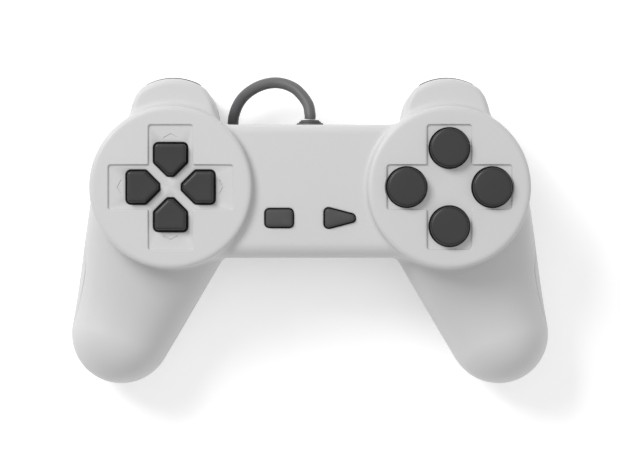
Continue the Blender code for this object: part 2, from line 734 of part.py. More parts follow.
def add_pod_parts(side_name, frame):
    """The circuit board, rubber mat, bracket and ribbon behind one pod's triggers."""
    half = POD_HALF_WIDTH - WALL - 0.0004
    low, high = WALL + 0.0010, POD_TOP - WALL - 0.0010
    upper = (UPPER_LOW + UPPER_HIGH) / 2
    lower = (LOWER_LOW + LOWER_HIGH) / 2

    board = add_object(
        f"{side_name}_shoulder_board",
        block((-half, POD_BOARD_Y, low), (half, POD_BOARD_Y + POD_BOARD_THICKNESS, high)),
    )
    finish(board, BOARD_TAN, 0.5, parent=frame)

    height = TRIGGER_BACK_Y - TOUCH_GAP - POD_MAT_LOW_Y
    outline = rounded_rectangle(half, low, high, 0.0015, 2)
    sheet = dome_mat([(x, -z) for x, z in outline], [(0, -upper), (0, -lower)], height)
    mat = add_object(f"{side_name}_shoulder_mat", turn_to_y(sheet), (0, POD_MAT_LOW_Y, 0))
    finish(mat, RUBBER_GREY, 0.6, parent=frame)

    plate = block((-half, POD_BRACKET_Y, low), (half, POD_BRACKET_Y + BRACKET_THICKNESS, high))
    bracket = add_object(f"{side_name}_shoulder_bracket", plate)
    window_low, window_high = SEAM_HEIGHT - 0.0050, SEAM_HEIGHT + 0.0030
    window = block((-0.0060, 0, window_low), (0.0060, DEPTH, window_high))
    combine(bracket, "DIFFERENCE", [(window, (0, 0, 0))])
    finish(bracket, DARK_GREY, 0.5, parent=frame)

    end_y = POD_BOARD_Y - TOUCH_GAP
    start_y = BOARD_BACK_Y - 0.0030
    top = BOARD_LOW - TOUCH_GAP
    middle = (window_low + window_high) / 2
    path = [(start_y, top), (start_y, top - 0.0030), (start_y + 0.0006, middle + 0.0020)]
    path += [(start_y + 0.0022, middle + 0.0003), (end_y, middle)]
    strip = [(y - 0.0003, z - 0.0003) for y, z in path]
    strip += [(y + 0.0003, z + 0.0003) for y, z in path[::-1]]
    strip[0] = (path[0][0] - 0.0003, top)
    strip[-1] = (path[0][0] + 0.0003, top)
    strip[len(path) - 1] = (end_y, middle - 0.0003)
    strip[len(path)] = (end_y, middle + 0.0003)
    ribbon_shape = prism(strip, -0.0045, 0.0045)
    turn = Matrix(((0, 0, 1), (1, 0, 0), (0, 1, 0)))
    bmesh.ops.transform(ribbon_shape, verts=ribbon_shape.verts, matrix=turn.to_4x4())
    ribbon = add_object(f"{side_name}_ribbon", ribbon_shape)
    finish(ribbon, (0.70, 0.70, 0.68), 0.4, parent=frame)


# ---------------------------------------------------------------- moving pieces


def add_direction_pad():
    """The direction pad on its small gimbal: the two tilt axes cross at the pivot frame."""
    pivot_frame = add_frame("dpad_pivot_frame", (-LOBE_X, LOBE_Y, PIVOT_HEIGHT))
    low, high = PIVOT_LOW - PIVOT_HEIGHT, PIVOT_TOP - PIVOT_HEIGHT
    outer, chamfer = PIVOT_RADIUS, 0.0006
    profile = [(0, low), (outer - chamfer, low), (outer, low + chamfer), (outer, high), (0, high)]
    pivot = add_object("dpad_pivot", turned(profile, 20))
    finish(pivot, DARK_GREY, 0.4, parent=pivot_frame)

    low, high = PAD_PLATE_LOW - PIVOT_HEIGHT, PAD_PLATE_TOP - PIVOT_HEIGHT
    top = DISC_TOP + PAD_PROUD - PIVOT_HEIGHT
    pad = add_object("dpad", cylinder(PAD_PLATE_RADIUS, low, high, 32))
    keys = []
    for turn in range(4):
        outline = pad_key_outline(0)
        key = prism(outline, low + 0.0008, top)
        rim = [edge for edge in key.edges if min(vert.co.z for vert in edge.verts) > top - 1e-6]
        bmesh.ops.bevel(key, geom=rim, offset=PAD_KEY_EDGE, segments=2, affect="EDGES", profile=0.5)
        bmesh.ops.rotate(
            key, verts=key.verts, matrix=Matrix.Rotation(turn * math.pi / 2, 3, "Z")
        )
        keys.append((key, (0, 0, 0)))
    combine(pad, "UNION", keys)
    finish(pad, DARK_GREY, 0.38, parent=pivot_frame)


def add_face_buttons(frame):
    """The four round face buttons."""
    top = DISC_TOP + BUTTON_PROUD
    lip_top = ROOF - 0.0007
    for name, (x, y) in button_places().items():
        wide = BUTTON_RADIUS + BUTTON_LIP
        profile = [(0, BUTTON_LOW), (DOME_BASE, BUTTON_LOW), (DOME_BASE, lip_top - 0.0014)]
        profile += [(wide, lip_top - 0.0014), (wide, lip_top), (BUTTON_RADIUS, lip_top)]
        profile += [(BUTTON_RADIUS, top - 0.0009), (BUTTON_RADIUS - 0.0003, top - 0.0003)]
        profile += [(BUTTON_RADIUS - 0.0011, top), (0, top + 0.0002)]
        button = add_object(name, turned(profile, 28), (x, y, 0))
        finish(button, DARK_GREY, 0.35, parent=frame)


def add_menu_keys(frame):
    """The select and start keys."""
    top = BRIDGE_TOP + MENU_PROUD
    lip_low = MENU_LOW + 0.0006
    lip_high = MENU_ROOF - 0.0008
    for name, x, outline in (
        ("select_key", SELECT_X, select_outline),
        ("start_key", START_X, start_outline),
    ):
        stem = prism(outline(0), MENU_LOW, top)
        rim = [edge for edge in stem.edges if min(vert.co.z for vert in edge.verts) > top - 1e-6]
        bmesh.ops.bevel(stem, geom=rim, offset=MENU_EDGE, segments=2, affect="EDGES", profile=0.5)
        key = add_object(name, stem, (x, MENU_Y, 0))
        lip = prism(outline(MENU_LIP), lip_low, lip_high)
        combine(key, "UNION", [(lip, (x, MENU_Y, 0))])
        finish(key, KEY_GREY, 0.6, parent=frame)


def add_trigger(name, low, high, x, frame):
    """One shoulder trigger that slides back into its pod along Y."""
    front = DEPTH / 2
    half = TRIGGER_HALF_WIDTH
    low, high = low + CLEARANCE, high - CLEARANCE
    lip_y = POD_FRONT_Y - WALL - 0.0006
    cap_outline = [(-half, lip_y - 0.0010), (half, lip_y - 0.0010)]
    corner = TRIGGER_CORNER
    cap_outline += arc((half - corner, front - corner), corner, 0, 90, 4)
    cap_outline += arc((corner - half, front - corner), corner, 90, 180, 4)
    cap = softened_prism(cap_outline, low, high, TRIGGER_EDGE, 1)
    trigger = add_object(name, cap, (x, 0, 0))
    wide = half - 0.0016
    lip = block(
        (-wide, lip_y - 0.0012, low - TRIGGER_LIP),
        (wide, lip_y, high + TRIGGER_LIP),
    )
    middle = (low + high) / 2
    reach = (high - low) / 2 - 0.0020
    stem = block(
        (-TRIGGER_STEM_HALF_WIDTH, TRIGGER_BACK_Y, middle - reach),
        (TRIGGER_STEM_HALF_WIDTH, lip_y - 0.0008, middle + reach),
    )
    combine(trigger, "UNION", [(lip, (x, 0, 0)), (stem, (x, 0, 0))])
    finish(trigger, DARK_GREY, 0.38, parent=frame)


# ---------------------------------------------------------------- cord

# The lead's own points: out of the strain relief, an arch to the left, and down under the bridge
LEAD_ROUTE = [
    (0.0, 0.0, 0.0),
    (0.0, 0.0016, 0.0),
    (-0.0009, 0.0052, -0.0016),
    (-0.0048, 0.0098, -0.0050),
    (-0.0105, 0.0118, -0.0086),
    (-0.0166, 0.0107, -0.0122),
    (-0.0217, 0.0070, -0.0152),
    (-0.0243, 0.0014, -0.0180),
    (-0.0241, -0.0040, -0.0203),
    (-0.0229, -0.0070, -0.0212),
    (-0.0222, -0.0082, -0.0215),
]

# The tail's own points: out of the hank's inner side, down to the plug's boot
TAIL_ROUTE = [
    (-0.0222, 0.0050, 0.0079),
    (-0.0208, 0.0046, 0.0077),
    (-0.0160, 0.0033, 0.0064),
    (-0.0105, 0.0015, 0.0031),
    (-0.0068, 0.0003, 0.0006),
    (-0.0042, 0.0, 0.0),
    (-0.0023, 0.0, 0.0),
]


def smooth_points(route, spacing):
    """The route's short straight ends, and evenly spaced points on a smooth curve between them."""
    fine = []
    for index in range(1, len(route) - 2):
        before, start, end, after = route[index - 1 : index + 3]
        for step in range(20):
            t = step / 20
            point = start * 2 + (end - before) * t
            point += (before * 2 - start * 5 + end * 4 - after) * t**2
            point += (start * 3 - before - end * 3 + after) * t**3
            fine.append(point / 2)
    fine.append(route[-2])
    length = sum((b - a).length for a, b in zip(fine, fine[1:]))
    count = max(round(length / spacing), 1)
    points, walked = [route[0], fine[0]], 0.0
    for start, end in zip(fine, fine[1:]):
        step = (end - start).length
        target = length / count * (len(points) - 1)
        if walked + step >= target and len(points) <= count:
            points.append(start.lerp(end, (target - walked) / step))
        walked += step
    return points + [route[-2], route[-1]]


def add_tube(name, route, frame):
    """A plain tube along the cord where it isn't coiled."""
    curve = bpy.data.curves.new(name, "CURVE")
    curve.dimensions = "3D"
    curve.bevel_depth = CORD_RADIUS
    curve.bevel_resolution = 2
    curve.use_fill_caps = True
    points = smooth_points([Vector(point) for point in route], 4 * CORD_RADIUS)
    spline = curve.splines.new("POLY")
    spline.points.add(len(points) - 1)
    for slot, point in zip(spline.points, points):
        slot.co = (*point, 1)
    tube = bpy.data.objects.new(name, curve)
    bpy.context.scene.collection.objects.link(tube)
    finish(tube, CORD_GREY, 0.45, parent=frame)


def add_strain_relief(frame):
    """The rubber sleeve that grips the hole in the back wall."""
    inside = -WALL - CLEARANCE
    profile = [(0, inside - 0.0015), (0.0046, inside - 0.0015), (0.0046, inside), (0.0033, inside)]
    profile += [(0.0033, TOUCH_GAP), (0.0042, TOUCH_GAP), (0.0042, TOUCH_GAP + 0.0007)]
    profile += [(0.0031, TOUCH_GAP + 0.0009), (0.0027, RELIEF_END), (0, RELIEF_END)]
    shape = turn_to_y(turned(profile, 16))
    relief = add_object("strain_relief", shape, (0, BRIDGE_BACK_Y, SEAM_HEIGHT))
    finish(relief, CORD_GREY, 0.55, parent=frame)


def stadium(radius, steps):
    """Outline of a slot-shaped loop about the hank's centre."""
    half = HANK_STRAIGHT / 2
    outline = list(arc((half, 0), radius, -90, 90, steps))
    outline += arc((-half, 0), radius, 90, 270, steps)
    return outline


def add_hank(frame):
    """The cord's wound length as one closed ring, with the band that ties it."""
    place = (0, HANK_CENTRE_Y, 0)
    hank = add_object("cord_hank", prism(stadium(HANK_OUTER_RADIUS, 12), HANK_LOW, HANK_HIGH), place)
    hollow = prism(stadium(HANK_INNER_RADIUS, 12), 0, HANK_HIGH + HANK_LOW)
    combine(hank, "DIFFERENCE", [(hollow, place)])
    finish(hank, CORD_GREY, 0.45, parent=frame)
    gap = TOUCH_GAP
    thick = TIE_THICKNESS
    low = (0, HANK_CENTRE_Y - HANK_OUTER_RADIUS, HANK_LOW)
    high = (0, HANK_CENTRE_Y - HANK_INNER_RADIUS, HANK_HIGH)
    outer = block(
        (TIE_X - TIE_WIDTH / 2, low[1] - gap - thick, low[2] - gap - thick),
        (TIE_X + TIE_WIDTH / 2, high[1] + gap + thick, high[2] + gap + thick),
    )
    inner = block(
        (TIE_X - TIE_WIDTH, low[1] - gap, low[2] - gap),
        (TIE_X + TIE_WIDTH, high[1] + gap, high[2] + gap),
    )
    tie = add_object("cord_tie", outer)
    combine(tie, "DIFFERENCE", [(inner, (0, 0, 0))])
    finish(tie, DARK_GREY, 0.6, parent=frame)


def add_plug(frame):
    """A flat plug that lies along X: moulded body with its boot, metal shell and tongue."""
    body_low, body_high = 0.0055, 0.0235
    boot = [(0, -0.0017), (0.0026, -0.0017), (0.0033, 0.0065), (0, 0.0065)]
    moulding = add_object(
        "plug_body", block((body_low, -0.0068, -0.0038), (body_high, 0.0068, 0.0038), 0.0010)
    )
    boot_shape = turned(boot, 14)
    bmesh.ops.rotate(
        boot_shape, verts=boot_shape.verts, matrix=Matrix.Rotation(math.pi / 2, 3, "Y")
    )
    combine(moulding, "UNION", [(boot_shape, (0, 0, 0))])
    finish(moulding, CORD_GREY, 0.5, parent=frame)
    start, end = body_high + TOUCH_GAP, body_high + 0.0120
    metal = add_object("plug_shell", block((start, -0.0060, -0.00225), (end, 0.0060, 0.00225)))
    hollow = block((start + 0.0008, -0.0057, -0.00195), (end + 0.001, 0.0057, 0.00195))
    combine(metal, "DIFFERENCE", [(hollow, (0, 0, 0))])
    finish(metal, STEEL, 0.25, 1.0, frame)
    tongue = add_object(
        "plug_tongue", block((start + 0.0011, -0.0054, 0.0001), (end - 0.0008, 0.0054, 0.0016))
    )
    finish(tongue, (0.75, 0.75, 0.73), 0.4, parent=frame)


def add_cord(frame):
    """The strain relief, both visible runs of cord, the hank, its tie and the plug."""
    add_strain_relief(frame)
    start = Vector((0, BRIDGE_BACK_Y + RELIEF_END + TOUCH_GAP, SEAM_HEIGHT))
    add_tube("cord_lead", [start + Vector(step) for step in LEAD_ROUTE], frame)
    add_hank(frame)
    plug_frame = add_frame("plug_frame", (0, HANK_CENTRE_Y, PLUG_Z))
    add_plug(plug_frame)
    add_tube("cord_tail", TAIL_ROUTE, plug_frame)
    inner_end = BRIDGE_BACK_Y - WALL - CLEARANCE - 0.0015 - TOUCH_GAP
    inner = [(0, inner_end, SEAM_HEIGHT), (0, inner_end - 0.0012, SEAM_HEIGHT)]
    inner += [(0, 0.0240, SEAM_HEIGHT + 0.0010), (0, 0.0225 + TOUCH_GAP, SEAM_HEIGHT + 0.0010)]
    add_tube("inner_lead", inner, frame)


def main():
    """Clear the scene and build every piece."""
    for obj in list(bpy.data.objects):
        bpy.data.objects.remove(obj)
    frame = add_frame("controller_frame", (0, 0, 0))
    add_shells(frame)
    add_screws(frame)
    add_main_board(frame)
    add_board_parts(frame)
    add_mats(frame)
    add_direction_pad()
    add_face_buttons(frame)
    add_menu_keys(frame)
    for side, side_name in ((-1, "left"), (1, "right")):
        pod_frame = add_frame(f"{side_name}_pod_frame", (side * POD_X, 0, 0))
        add_pod_parts(side_name, pod_frame)
        for level, low, high in (
            ("upper", UPPER_LOW, UPPER_HIGH),
            ("lower", LOWER_LOW, LOWER_HIGH),
        ):
            add_trigger(f"{side_name}_{level}_trigger", low, high, side * POD_X, frame)
    add_cord(frame)


main()
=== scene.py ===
"""Finished surfaces, cord, materials, light and camera for a wired two-handed game controller."""

from __future__ import annotations

import json
import logging
import math
from dataclasses import dataclass, field
from enum import Enum
from typing import Callable, Iterable, Sequence

import bpy  # noqa: E402
import numpy as np  # noqa: E402
from mathutils import Matrix  # noqa: E402
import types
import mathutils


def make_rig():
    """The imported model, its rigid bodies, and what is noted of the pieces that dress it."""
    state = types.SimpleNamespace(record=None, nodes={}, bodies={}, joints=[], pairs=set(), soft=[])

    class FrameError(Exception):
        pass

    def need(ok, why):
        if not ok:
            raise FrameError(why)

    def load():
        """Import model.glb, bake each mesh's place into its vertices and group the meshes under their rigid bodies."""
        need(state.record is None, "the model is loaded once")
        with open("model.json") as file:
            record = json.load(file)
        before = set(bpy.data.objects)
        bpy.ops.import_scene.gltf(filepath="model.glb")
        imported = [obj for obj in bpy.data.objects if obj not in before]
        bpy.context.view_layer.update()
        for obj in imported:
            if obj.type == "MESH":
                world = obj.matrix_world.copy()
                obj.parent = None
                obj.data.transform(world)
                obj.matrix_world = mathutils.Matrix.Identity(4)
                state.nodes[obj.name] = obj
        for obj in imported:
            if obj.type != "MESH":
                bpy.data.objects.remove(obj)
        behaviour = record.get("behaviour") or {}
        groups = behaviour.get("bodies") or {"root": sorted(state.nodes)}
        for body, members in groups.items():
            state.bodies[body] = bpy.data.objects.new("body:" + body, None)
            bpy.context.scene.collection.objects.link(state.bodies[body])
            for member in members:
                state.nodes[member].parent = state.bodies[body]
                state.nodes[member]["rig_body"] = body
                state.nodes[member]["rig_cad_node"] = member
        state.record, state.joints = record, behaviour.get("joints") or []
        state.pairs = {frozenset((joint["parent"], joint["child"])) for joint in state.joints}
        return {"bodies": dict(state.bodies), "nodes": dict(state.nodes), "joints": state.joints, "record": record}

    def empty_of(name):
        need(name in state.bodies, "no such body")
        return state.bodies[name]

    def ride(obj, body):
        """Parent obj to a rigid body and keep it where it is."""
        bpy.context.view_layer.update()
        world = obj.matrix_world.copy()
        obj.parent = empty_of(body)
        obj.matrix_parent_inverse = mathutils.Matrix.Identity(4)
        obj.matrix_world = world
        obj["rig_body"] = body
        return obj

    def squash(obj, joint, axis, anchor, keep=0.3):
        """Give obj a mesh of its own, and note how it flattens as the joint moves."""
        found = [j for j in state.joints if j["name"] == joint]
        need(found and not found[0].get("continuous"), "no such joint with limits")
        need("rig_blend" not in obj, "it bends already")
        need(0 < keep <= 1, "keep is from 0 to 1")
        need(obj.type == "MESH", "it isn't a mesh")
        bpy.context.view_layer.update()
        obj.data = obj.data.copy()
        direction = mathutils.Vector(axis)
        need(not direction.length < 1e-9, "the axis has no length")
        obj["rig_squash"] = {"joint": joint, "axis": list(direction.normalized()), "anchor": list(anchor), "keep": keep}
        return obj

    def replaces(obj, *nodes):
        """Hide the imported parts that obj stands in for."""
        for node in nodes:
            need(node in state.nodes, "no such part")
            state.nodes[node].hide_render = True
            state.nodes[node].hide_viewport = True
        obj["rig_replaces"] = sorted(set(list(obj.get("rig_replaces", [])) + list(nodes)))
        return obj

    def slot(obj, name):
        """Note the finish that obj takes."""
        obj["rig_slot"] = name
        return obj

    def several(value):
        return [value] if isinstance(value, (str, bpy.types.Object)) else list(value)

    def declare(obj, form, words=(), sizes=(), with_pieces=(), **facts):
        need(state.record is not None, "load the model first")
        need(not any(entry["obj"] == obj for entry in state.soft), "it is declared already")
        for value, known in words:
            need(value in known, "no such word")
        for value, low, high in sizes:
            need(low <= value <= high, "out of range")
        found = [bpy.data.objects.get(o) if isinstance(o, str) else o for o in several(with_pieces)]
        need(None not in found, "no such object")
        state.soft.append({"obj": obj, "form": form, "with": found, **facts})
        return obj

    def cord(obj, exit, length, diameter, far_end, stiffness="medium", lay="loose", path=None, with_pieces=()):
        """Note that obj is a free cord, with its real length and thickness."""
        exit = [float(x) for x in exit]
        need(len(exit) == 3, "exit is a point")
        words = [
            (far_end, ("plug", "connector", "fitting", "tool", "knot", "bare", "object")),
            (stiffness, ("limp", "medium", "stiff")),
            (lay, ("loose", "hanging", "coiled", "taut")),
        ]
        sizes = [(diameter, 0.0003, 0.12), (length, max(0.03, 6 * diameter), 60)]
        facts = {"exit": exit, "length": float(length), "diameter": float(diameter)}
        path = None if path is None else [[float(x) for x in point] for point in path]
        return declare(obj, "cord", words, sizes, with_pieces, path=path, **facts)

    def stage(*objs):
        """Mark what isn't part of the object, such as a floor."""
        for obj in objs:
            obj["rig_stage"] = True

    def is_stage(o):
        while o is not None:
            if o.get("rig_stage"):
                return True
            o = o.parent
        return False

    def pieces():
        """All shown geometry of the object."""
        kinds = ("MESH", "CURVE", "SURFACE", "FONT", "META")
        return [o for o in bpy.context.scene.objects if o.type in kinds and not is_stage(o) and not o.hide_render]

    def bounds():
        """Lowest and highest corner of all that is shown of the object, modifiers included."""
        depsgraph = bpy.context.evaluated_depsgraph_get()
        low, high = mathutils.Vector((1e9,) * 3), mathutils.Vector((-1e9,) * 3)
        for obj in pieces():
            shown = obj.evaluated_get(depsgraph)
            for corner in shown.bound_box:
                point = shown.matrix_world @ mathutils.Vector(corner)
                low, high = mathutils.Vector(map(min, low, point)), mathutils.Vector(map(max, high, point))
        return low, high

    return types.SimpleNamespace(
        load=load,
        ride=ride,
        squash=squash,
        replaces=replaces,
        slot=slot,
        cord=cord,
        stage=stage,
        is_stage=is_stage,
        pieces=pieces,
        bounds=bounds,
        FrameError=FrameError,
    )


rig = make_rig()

log = logging.getLogger("controller")

Array = np.ndarray
Colour = tuple[float, float, float]

MM = 0.001
HOUSING = "housing"

# Shared places, in metres: the middle of the right disc and pod, which the left ones mirror,
# the bridge's back wall, the cord's outlet, and the middle line of the wound cord and its plug.
DISC_PLACE = (0.0424, 0.0138)
POD_X = 0.0419
BACK_WALL = 0.0330
OUTLET_HEIGHT = 0.0260
HANK_LINE = 0.0098
PLUG_HEIGHT = 0.0043

# The trigger windows of a pod: their name, lowest and highest point, in millimetres.
WINDOWS = (("upper", 28.0, 38.0), ("lower", 3.0, 24.0))


# ---------------------------------------------------------------- shader expressions


class Wire:
    """A shader socket or number that builds Math nodes when it is used in an expression."""

    def __init__(self, shader: Shader, source: bpy.types.NodeSocket) -> None:
        """Wrap one output socket of a shader."""
        self.shader = shader
        self.source = source

    def _math(self, operation: str, first: object, second: object) -> Wire:
        """Add one Math node that joins two values."""
        return self.shader.node("ShaderNodeMath", {"operation": operation}, {0: first, 1: second})

    def __add__(self, other: object) -> Wire:
        """Sum."""
        return self._math("ADD", self, other)

    def __radd__(self, other: object) -> Wire:
        """Sum, the other way round."""
        return self._math("ADD", other, self)

    def __sub__(self, other: object) -> Wire:
        """Difference."""
        return self._math("SUBTRACT", self, other)

    def __rsub__(self, other: object) -> Wire:
        """Difference, the other way round."""
        return self._math("SUBTRACT", other, self)

    def __mul__(self, other: object) -> Wire:
        """Product."""
        return self._math("MULTIPLY", self, other)

    def __rmul__(self, other: object) -> Wire:
        """Product, the other way round."""
        return self._math("MULTIPLY", other, self)


class Shader:
    """One material's node tree, with its Principled shader."""

    def __init__(self, name: str) -> None:
        """Start a material.

        Args:
            name: The material's name.
        """
        self.material = bpy.data.materials.new(name)
        self.material.use_nodes = True
        self.tree = self.material.node_tree
        self.surface = self.tree.nodes["Principled BSDF"]

    def node(
        self, kind: str, settings: dict[str, object], values: dict[object, object], out: object = 0
    ) -> Wire:
        """Add a node.

        Args:
            kind: The node's type.
            settings: Attributes of the node, set before its sockets.
            values: A value or a Wire for each input socket, by name or number.
            out: The output socket that the result wraps.

        Returns:
            The chosen output.
        """
        made = self.tree.nodes.new(kind)
        for name, value in settings.items():
            setattr(made, name, value)
        for socket, value in values.items():
            self.join(made.inputs[socket], value)
        return Wire(self, made.outputs[out])

    def join(self, socket: bpy.types.NodeSocket, value: object) -> None:
        """Link a Wire to a socket, or set the socket's own value.

        Args:
            socket: An input socket.
            value: The Wire or the constant that it takes.
        """
        if isinstance(value, Wire):
            self.tree.links.new(value.source, socket)
        else:
            socket.default_value = value

    def place(self, scale: Sequence[float] = (1.0, 1.0, 1.0)) -> Wire:
        """The piece's own coordinates, stretched by a scale."""
        spot = self.node("ShaderNodeTexCoord", {}, {}, "Object")
        return self.node("ShaderNodeMapping", {}, {"Vector": spot, "Scale": tuple(scale)})

    def noise(self, size: float, detail: float = 2.0, at: Wire | None = None) -> Wire:
        """Noise from 0 to 1.

        Args:
            size: How far across its blotches are, in metres.
            detail: How many finer layers it has.
            at: Where it is read; the piece's own coordinates if left out.

        Returns:
            The noise.
        """
        spot = at or self.place()
        values = {"Vector": spot, "Scale": 1.0 / size, "Detail": detail, "Roughness": 0.55}
        return self.node("ShaderNodeTexNoise", {}, values)

    def cells(self, size: float) -> Wire:
        """Distance to the nearest of many scattered points, size metres apart."""
        values = {"Vector": self.place(), "Scale": 1.0 / size}
        return self.node("ShaderNodeTexVoronoi", {}, values)

    def ramp(self, value: Wire, low: float, high: float) -> Wire:
        """A smooth step: 3 t squared less 2 t cubed, with t the share of the way.

        Args:
            value: What is stepped.
            low: Where the step is 0.
            high: Where it reaches 1.

        Returns:
            The stepped value.
        """
        settings = {"interpolation_type": "SMOOTHSTEP"}
        return self.node(
            "ShaderNodeMapRange", settings, {"Value": value, "From Min": low, "From Max": high}
        )

    def mix(self, share: Wire, first: object, second: object) -> Wire:
        """Blend two colours.

        Args:
            share: How much of the second there is.
            first: A colour or a Wire.
            second: Another.

        Returns:
            The blended colour.
        """
        colours = [(*c, 1.0) if isinstance(c, tuple) else c for c in (first, second)]
        return self.node(
            "ShaderNodeMix",
            {"data_type": "RGBA"},
            {"Factor": share, 6: colours[0], 7: colours[1]},
            2,
        )

    def dress(self, colour: object, roughness: object, bump: Wire | None, depth: float) -> None:
        """Feed the surface's colour, roughness and bump.

        Args:
            colour: A colour or a Wire.
            roughness: A number or a Wire.
            bump: The height of the grain, from 0 to about 1, or None.
            depth: How deep the grain is, in metres.
        """
        flat = (*colour, 1.0) if isinstance(colour, tuple) else colour
        self.join(self.surface.inputs["Base Color"], flat)
        self.join(self.surface.inputs["Roughness"], roughness)
        if bump is not None:
            values = {"Height": bump, "Strength": 1.0, "Distance": depth}
            self.join(self.surface.inputs["Normal"], self.node("ShaderNodeBump", {}, values))

    def fixed(self, **values: object) -> None:
        """Set constant sockets of the surface, such as Metallic."""
        for name, value in values.items():
            self.surface.inputs[name.replace("_", " ")].default_value = value


# ---------------------------------------------------------------- finishes


@dataclass(frozen=True)
class MouldedPlastic:
    """Spark-eroded moulded plastic: fine even grain, faint flow marks and handling marks.

    The bump is fine noise plus small scattered pits; roughness falls a little where
    larger blotches say that hands have polished it.
    """

    name: str
    colour: Colour
    roughness: float = 0.42
    grain: float = 0.00028
    depth: float = 0.000030
    polish: float = 0.12
    blotch: float = 0.021
    cloud: float = 0.060
    speck: float = 0.0009

    def build(self) -> bpy.types.Material:
        """Make the material.

        Returns:
            The finished material.
        """
        shader = Shader(self.name)
        grain = shader.noise(self.grain, 3.0)
        pits = shader.cells(self.grain * 2.2)
        hands = shader.ramp(shader.noise(self.blotch, 3.0), 0.42, 0.70)
        cloud = shader.noise(self.cloud)
        dark = tuple(channel * 0.955 for channel in self.colour)
        light = tuple(min(channel * 1.03, 1.0) for channel in self.colour)
        base = shader.mix(cloud, dark, light)
        specks = shader.ramp(shader.noise(self.speck, 4.0), 0.66, 0.80) * 0.16
        colour = shader.mix(specks, base, tuple(channel * 0.80 for channel in self.colour))
        roughness = self.roughness + grain * 0.10 - hands * self.polish
        shader.dress(colour, roughness, grain * 0.7 + pits * 0.5, self.depth)
        return shader.material


@dataclass(frozen=True)
class SoftRubber:
    """Moulded rubber or soft vinyl: matt, with a fine skin and dust in the low grain."""

    name: str
    colour: Colour
    roughness: float = 0.62
    grain: float = 0.0004
    depth: float = 0.000014
    dust: float = 0.10
    dust_patch: float = 0.006
    specular: float = 0.42

    def build(self) -> bpy.types.Material:
        """Make the material.

        Returns:
            The finished material.
        """
        shader = Shader(self.name)
        skin = shader.noise(self.grain, 4.0)
        dust = shader.ramp(shader.noise(self.dust_patch, 5.0), 0.45, 0.75) * self.dust
        pale = tuple(channel * 0.6 + 0.14 for channel in self.colour)
        colour = shader.mix(dust, self.colour, pale)
        shader.dress(colour, self.roughness + skin * 0.12 - 0.05, skin, self.depth)
        shader.fixed(Specular_IOR_Level=self.specular)
        return shader.material


@dataclass(frozen=True)
class CordJacket:
    """Extruded vinyl cord jacket: satin, with faint drawn lines along its length.

    The lines follow the tube's own UV map: u runs round the tube and v along it.
    """

    name: str
    colour: Colour
    stretch: tuple[float, float, float] = (26.0, 40.0, 1.0)
    cloud: float = 0.009
    depth: float = 0.000018

    def build(self) -> bpy.types.Material:
        """Make the material.

        Returns:
            The finished material.
        """
        shader = Shader(self.name)
        spot = shader.node("ShaderNodeTexCoord", {}, {}, "UV")
        drawn = shader.node("ShaderNodeMapping", {}, {"Vector": spot, "Scale": self.stretch})
        values = {"Vector": drawn, "Scale": 1.0, "Detail": 3.0}
        lines = shader.node("ShaderNodeTexNoise", {}, values)
        cloud = shader.noise(self.cloud, 3.0)
        light = tuple(channel * 1.5 for channel in self.colour)
        colour = shader.mix(cloud, self.colour, light)
        shader.dress(colour, 0.40 + cloud * 0.14, lines, self.depth)
        return shader.material


@dataclass(frozen=True)
class PlatedMetal:
    """Bright plated or zinc-coated metal with fine drawn scratches."""

    name: str
    colour: Colour
    roughness: float = 0.24
    stretch: tuple[float, float, float] = (1.0, 12.0, 12.0)
    scratch: float = 0.0016
    cloud: float = 0.004
    depth: float = 0.000006

    def build(self) -> bpy.types.Material:
        """Make the material.

        Returns:
            The finished material.
        """
        shader = Shader(self.name)
        scratches = shader.noise(self.scratch, 4.0, shader.place(self.stretch))
        cloud = shader.noise(self.cloud, 3.0)
        dull = tuple(channel * 0.82 for channel in self.colour)
        colour = shader.mix(cloud, dull, self.colour)
        shader.dress(colour, self.roughness + scratches * 0.16, scratches, self.depth)
        shader.fixed(Metallic=1.0)
        return shader.material


@dataclass(frozen=True)
class CircuitBoard:
    """Phenolic board: paper grain, pale copper tracks under a satin lacquer."""

    name: str
    colour: Colour = (0.30, 0.17, 0.055)
    track: Colour = (0.42, 0.24, 0.09)
    fibre: float = 0.0007
    depth: float = 0.00002

    def build(self) -> bpy.types.Material:
        """Make the material.

        Returns:
            The finished material.
        """
        shader = Shader(self.name)
        paper = shader.noise(self.fibre, 4.0, shader.place((1.0, 6.0, 1.0)))
        settings = {"wave_profile": "SIN", "bands_direction": "DIAGONAL"}
        values = {"Vector": shader.place(), "Scale": 160.0, "Distortion": 6.0}
        values |= {"Detail": 0.0, "Detail Scale": 0.6}
        tracks = shader.ramp(shader.node("ShaderNodeTexWave", settings, values), 0.62, 0.70)
        colour = shader.mix(tracks, self.colour, self.track)
        roughness = 0.42 + paper * 0.15 - tracks * 0.08
        shader.dress(colour, roughness, tracks + paper * 0.3, self.depth)
        return shader.material


@dataclass(frozen=True)
class StudioFloor:
    """A plain pale sheet that glows a little, as one lit from below does."""

    name: str = "pale_floor"
    dark: Colour = (0.88, 0.88, 0.88)
    light: Colour = (0.91, 0.91, 0.91)
    roughness: float = 0.85
    glow: float = 0.34

    def build(self) -> bpy.types.Material:
        """Make the material.

        Returns:
            The finished material.
        """
        shader = Shader(self.name)
        colour = shader.mix(shader.noise(0.30), self.dark, self.light)
        shader.dress(colour, self.roughness, None, 0.0)
        shader.fixed(Emission_Color=(1.0, 1.0, 1.0, 1.0), Emission_Strength=self.glow)
        return shader.material


SHELL_GREY: Colour = (0.600, 0.600, 0.605)
KEY_DARK: Colour = (0.019, 0.019, 0.020)
MENU_GREY: Colour = (0.058, 0.058, 0.060)
CORD_DARK: Colour = (0.085, 0.085, 0.088)


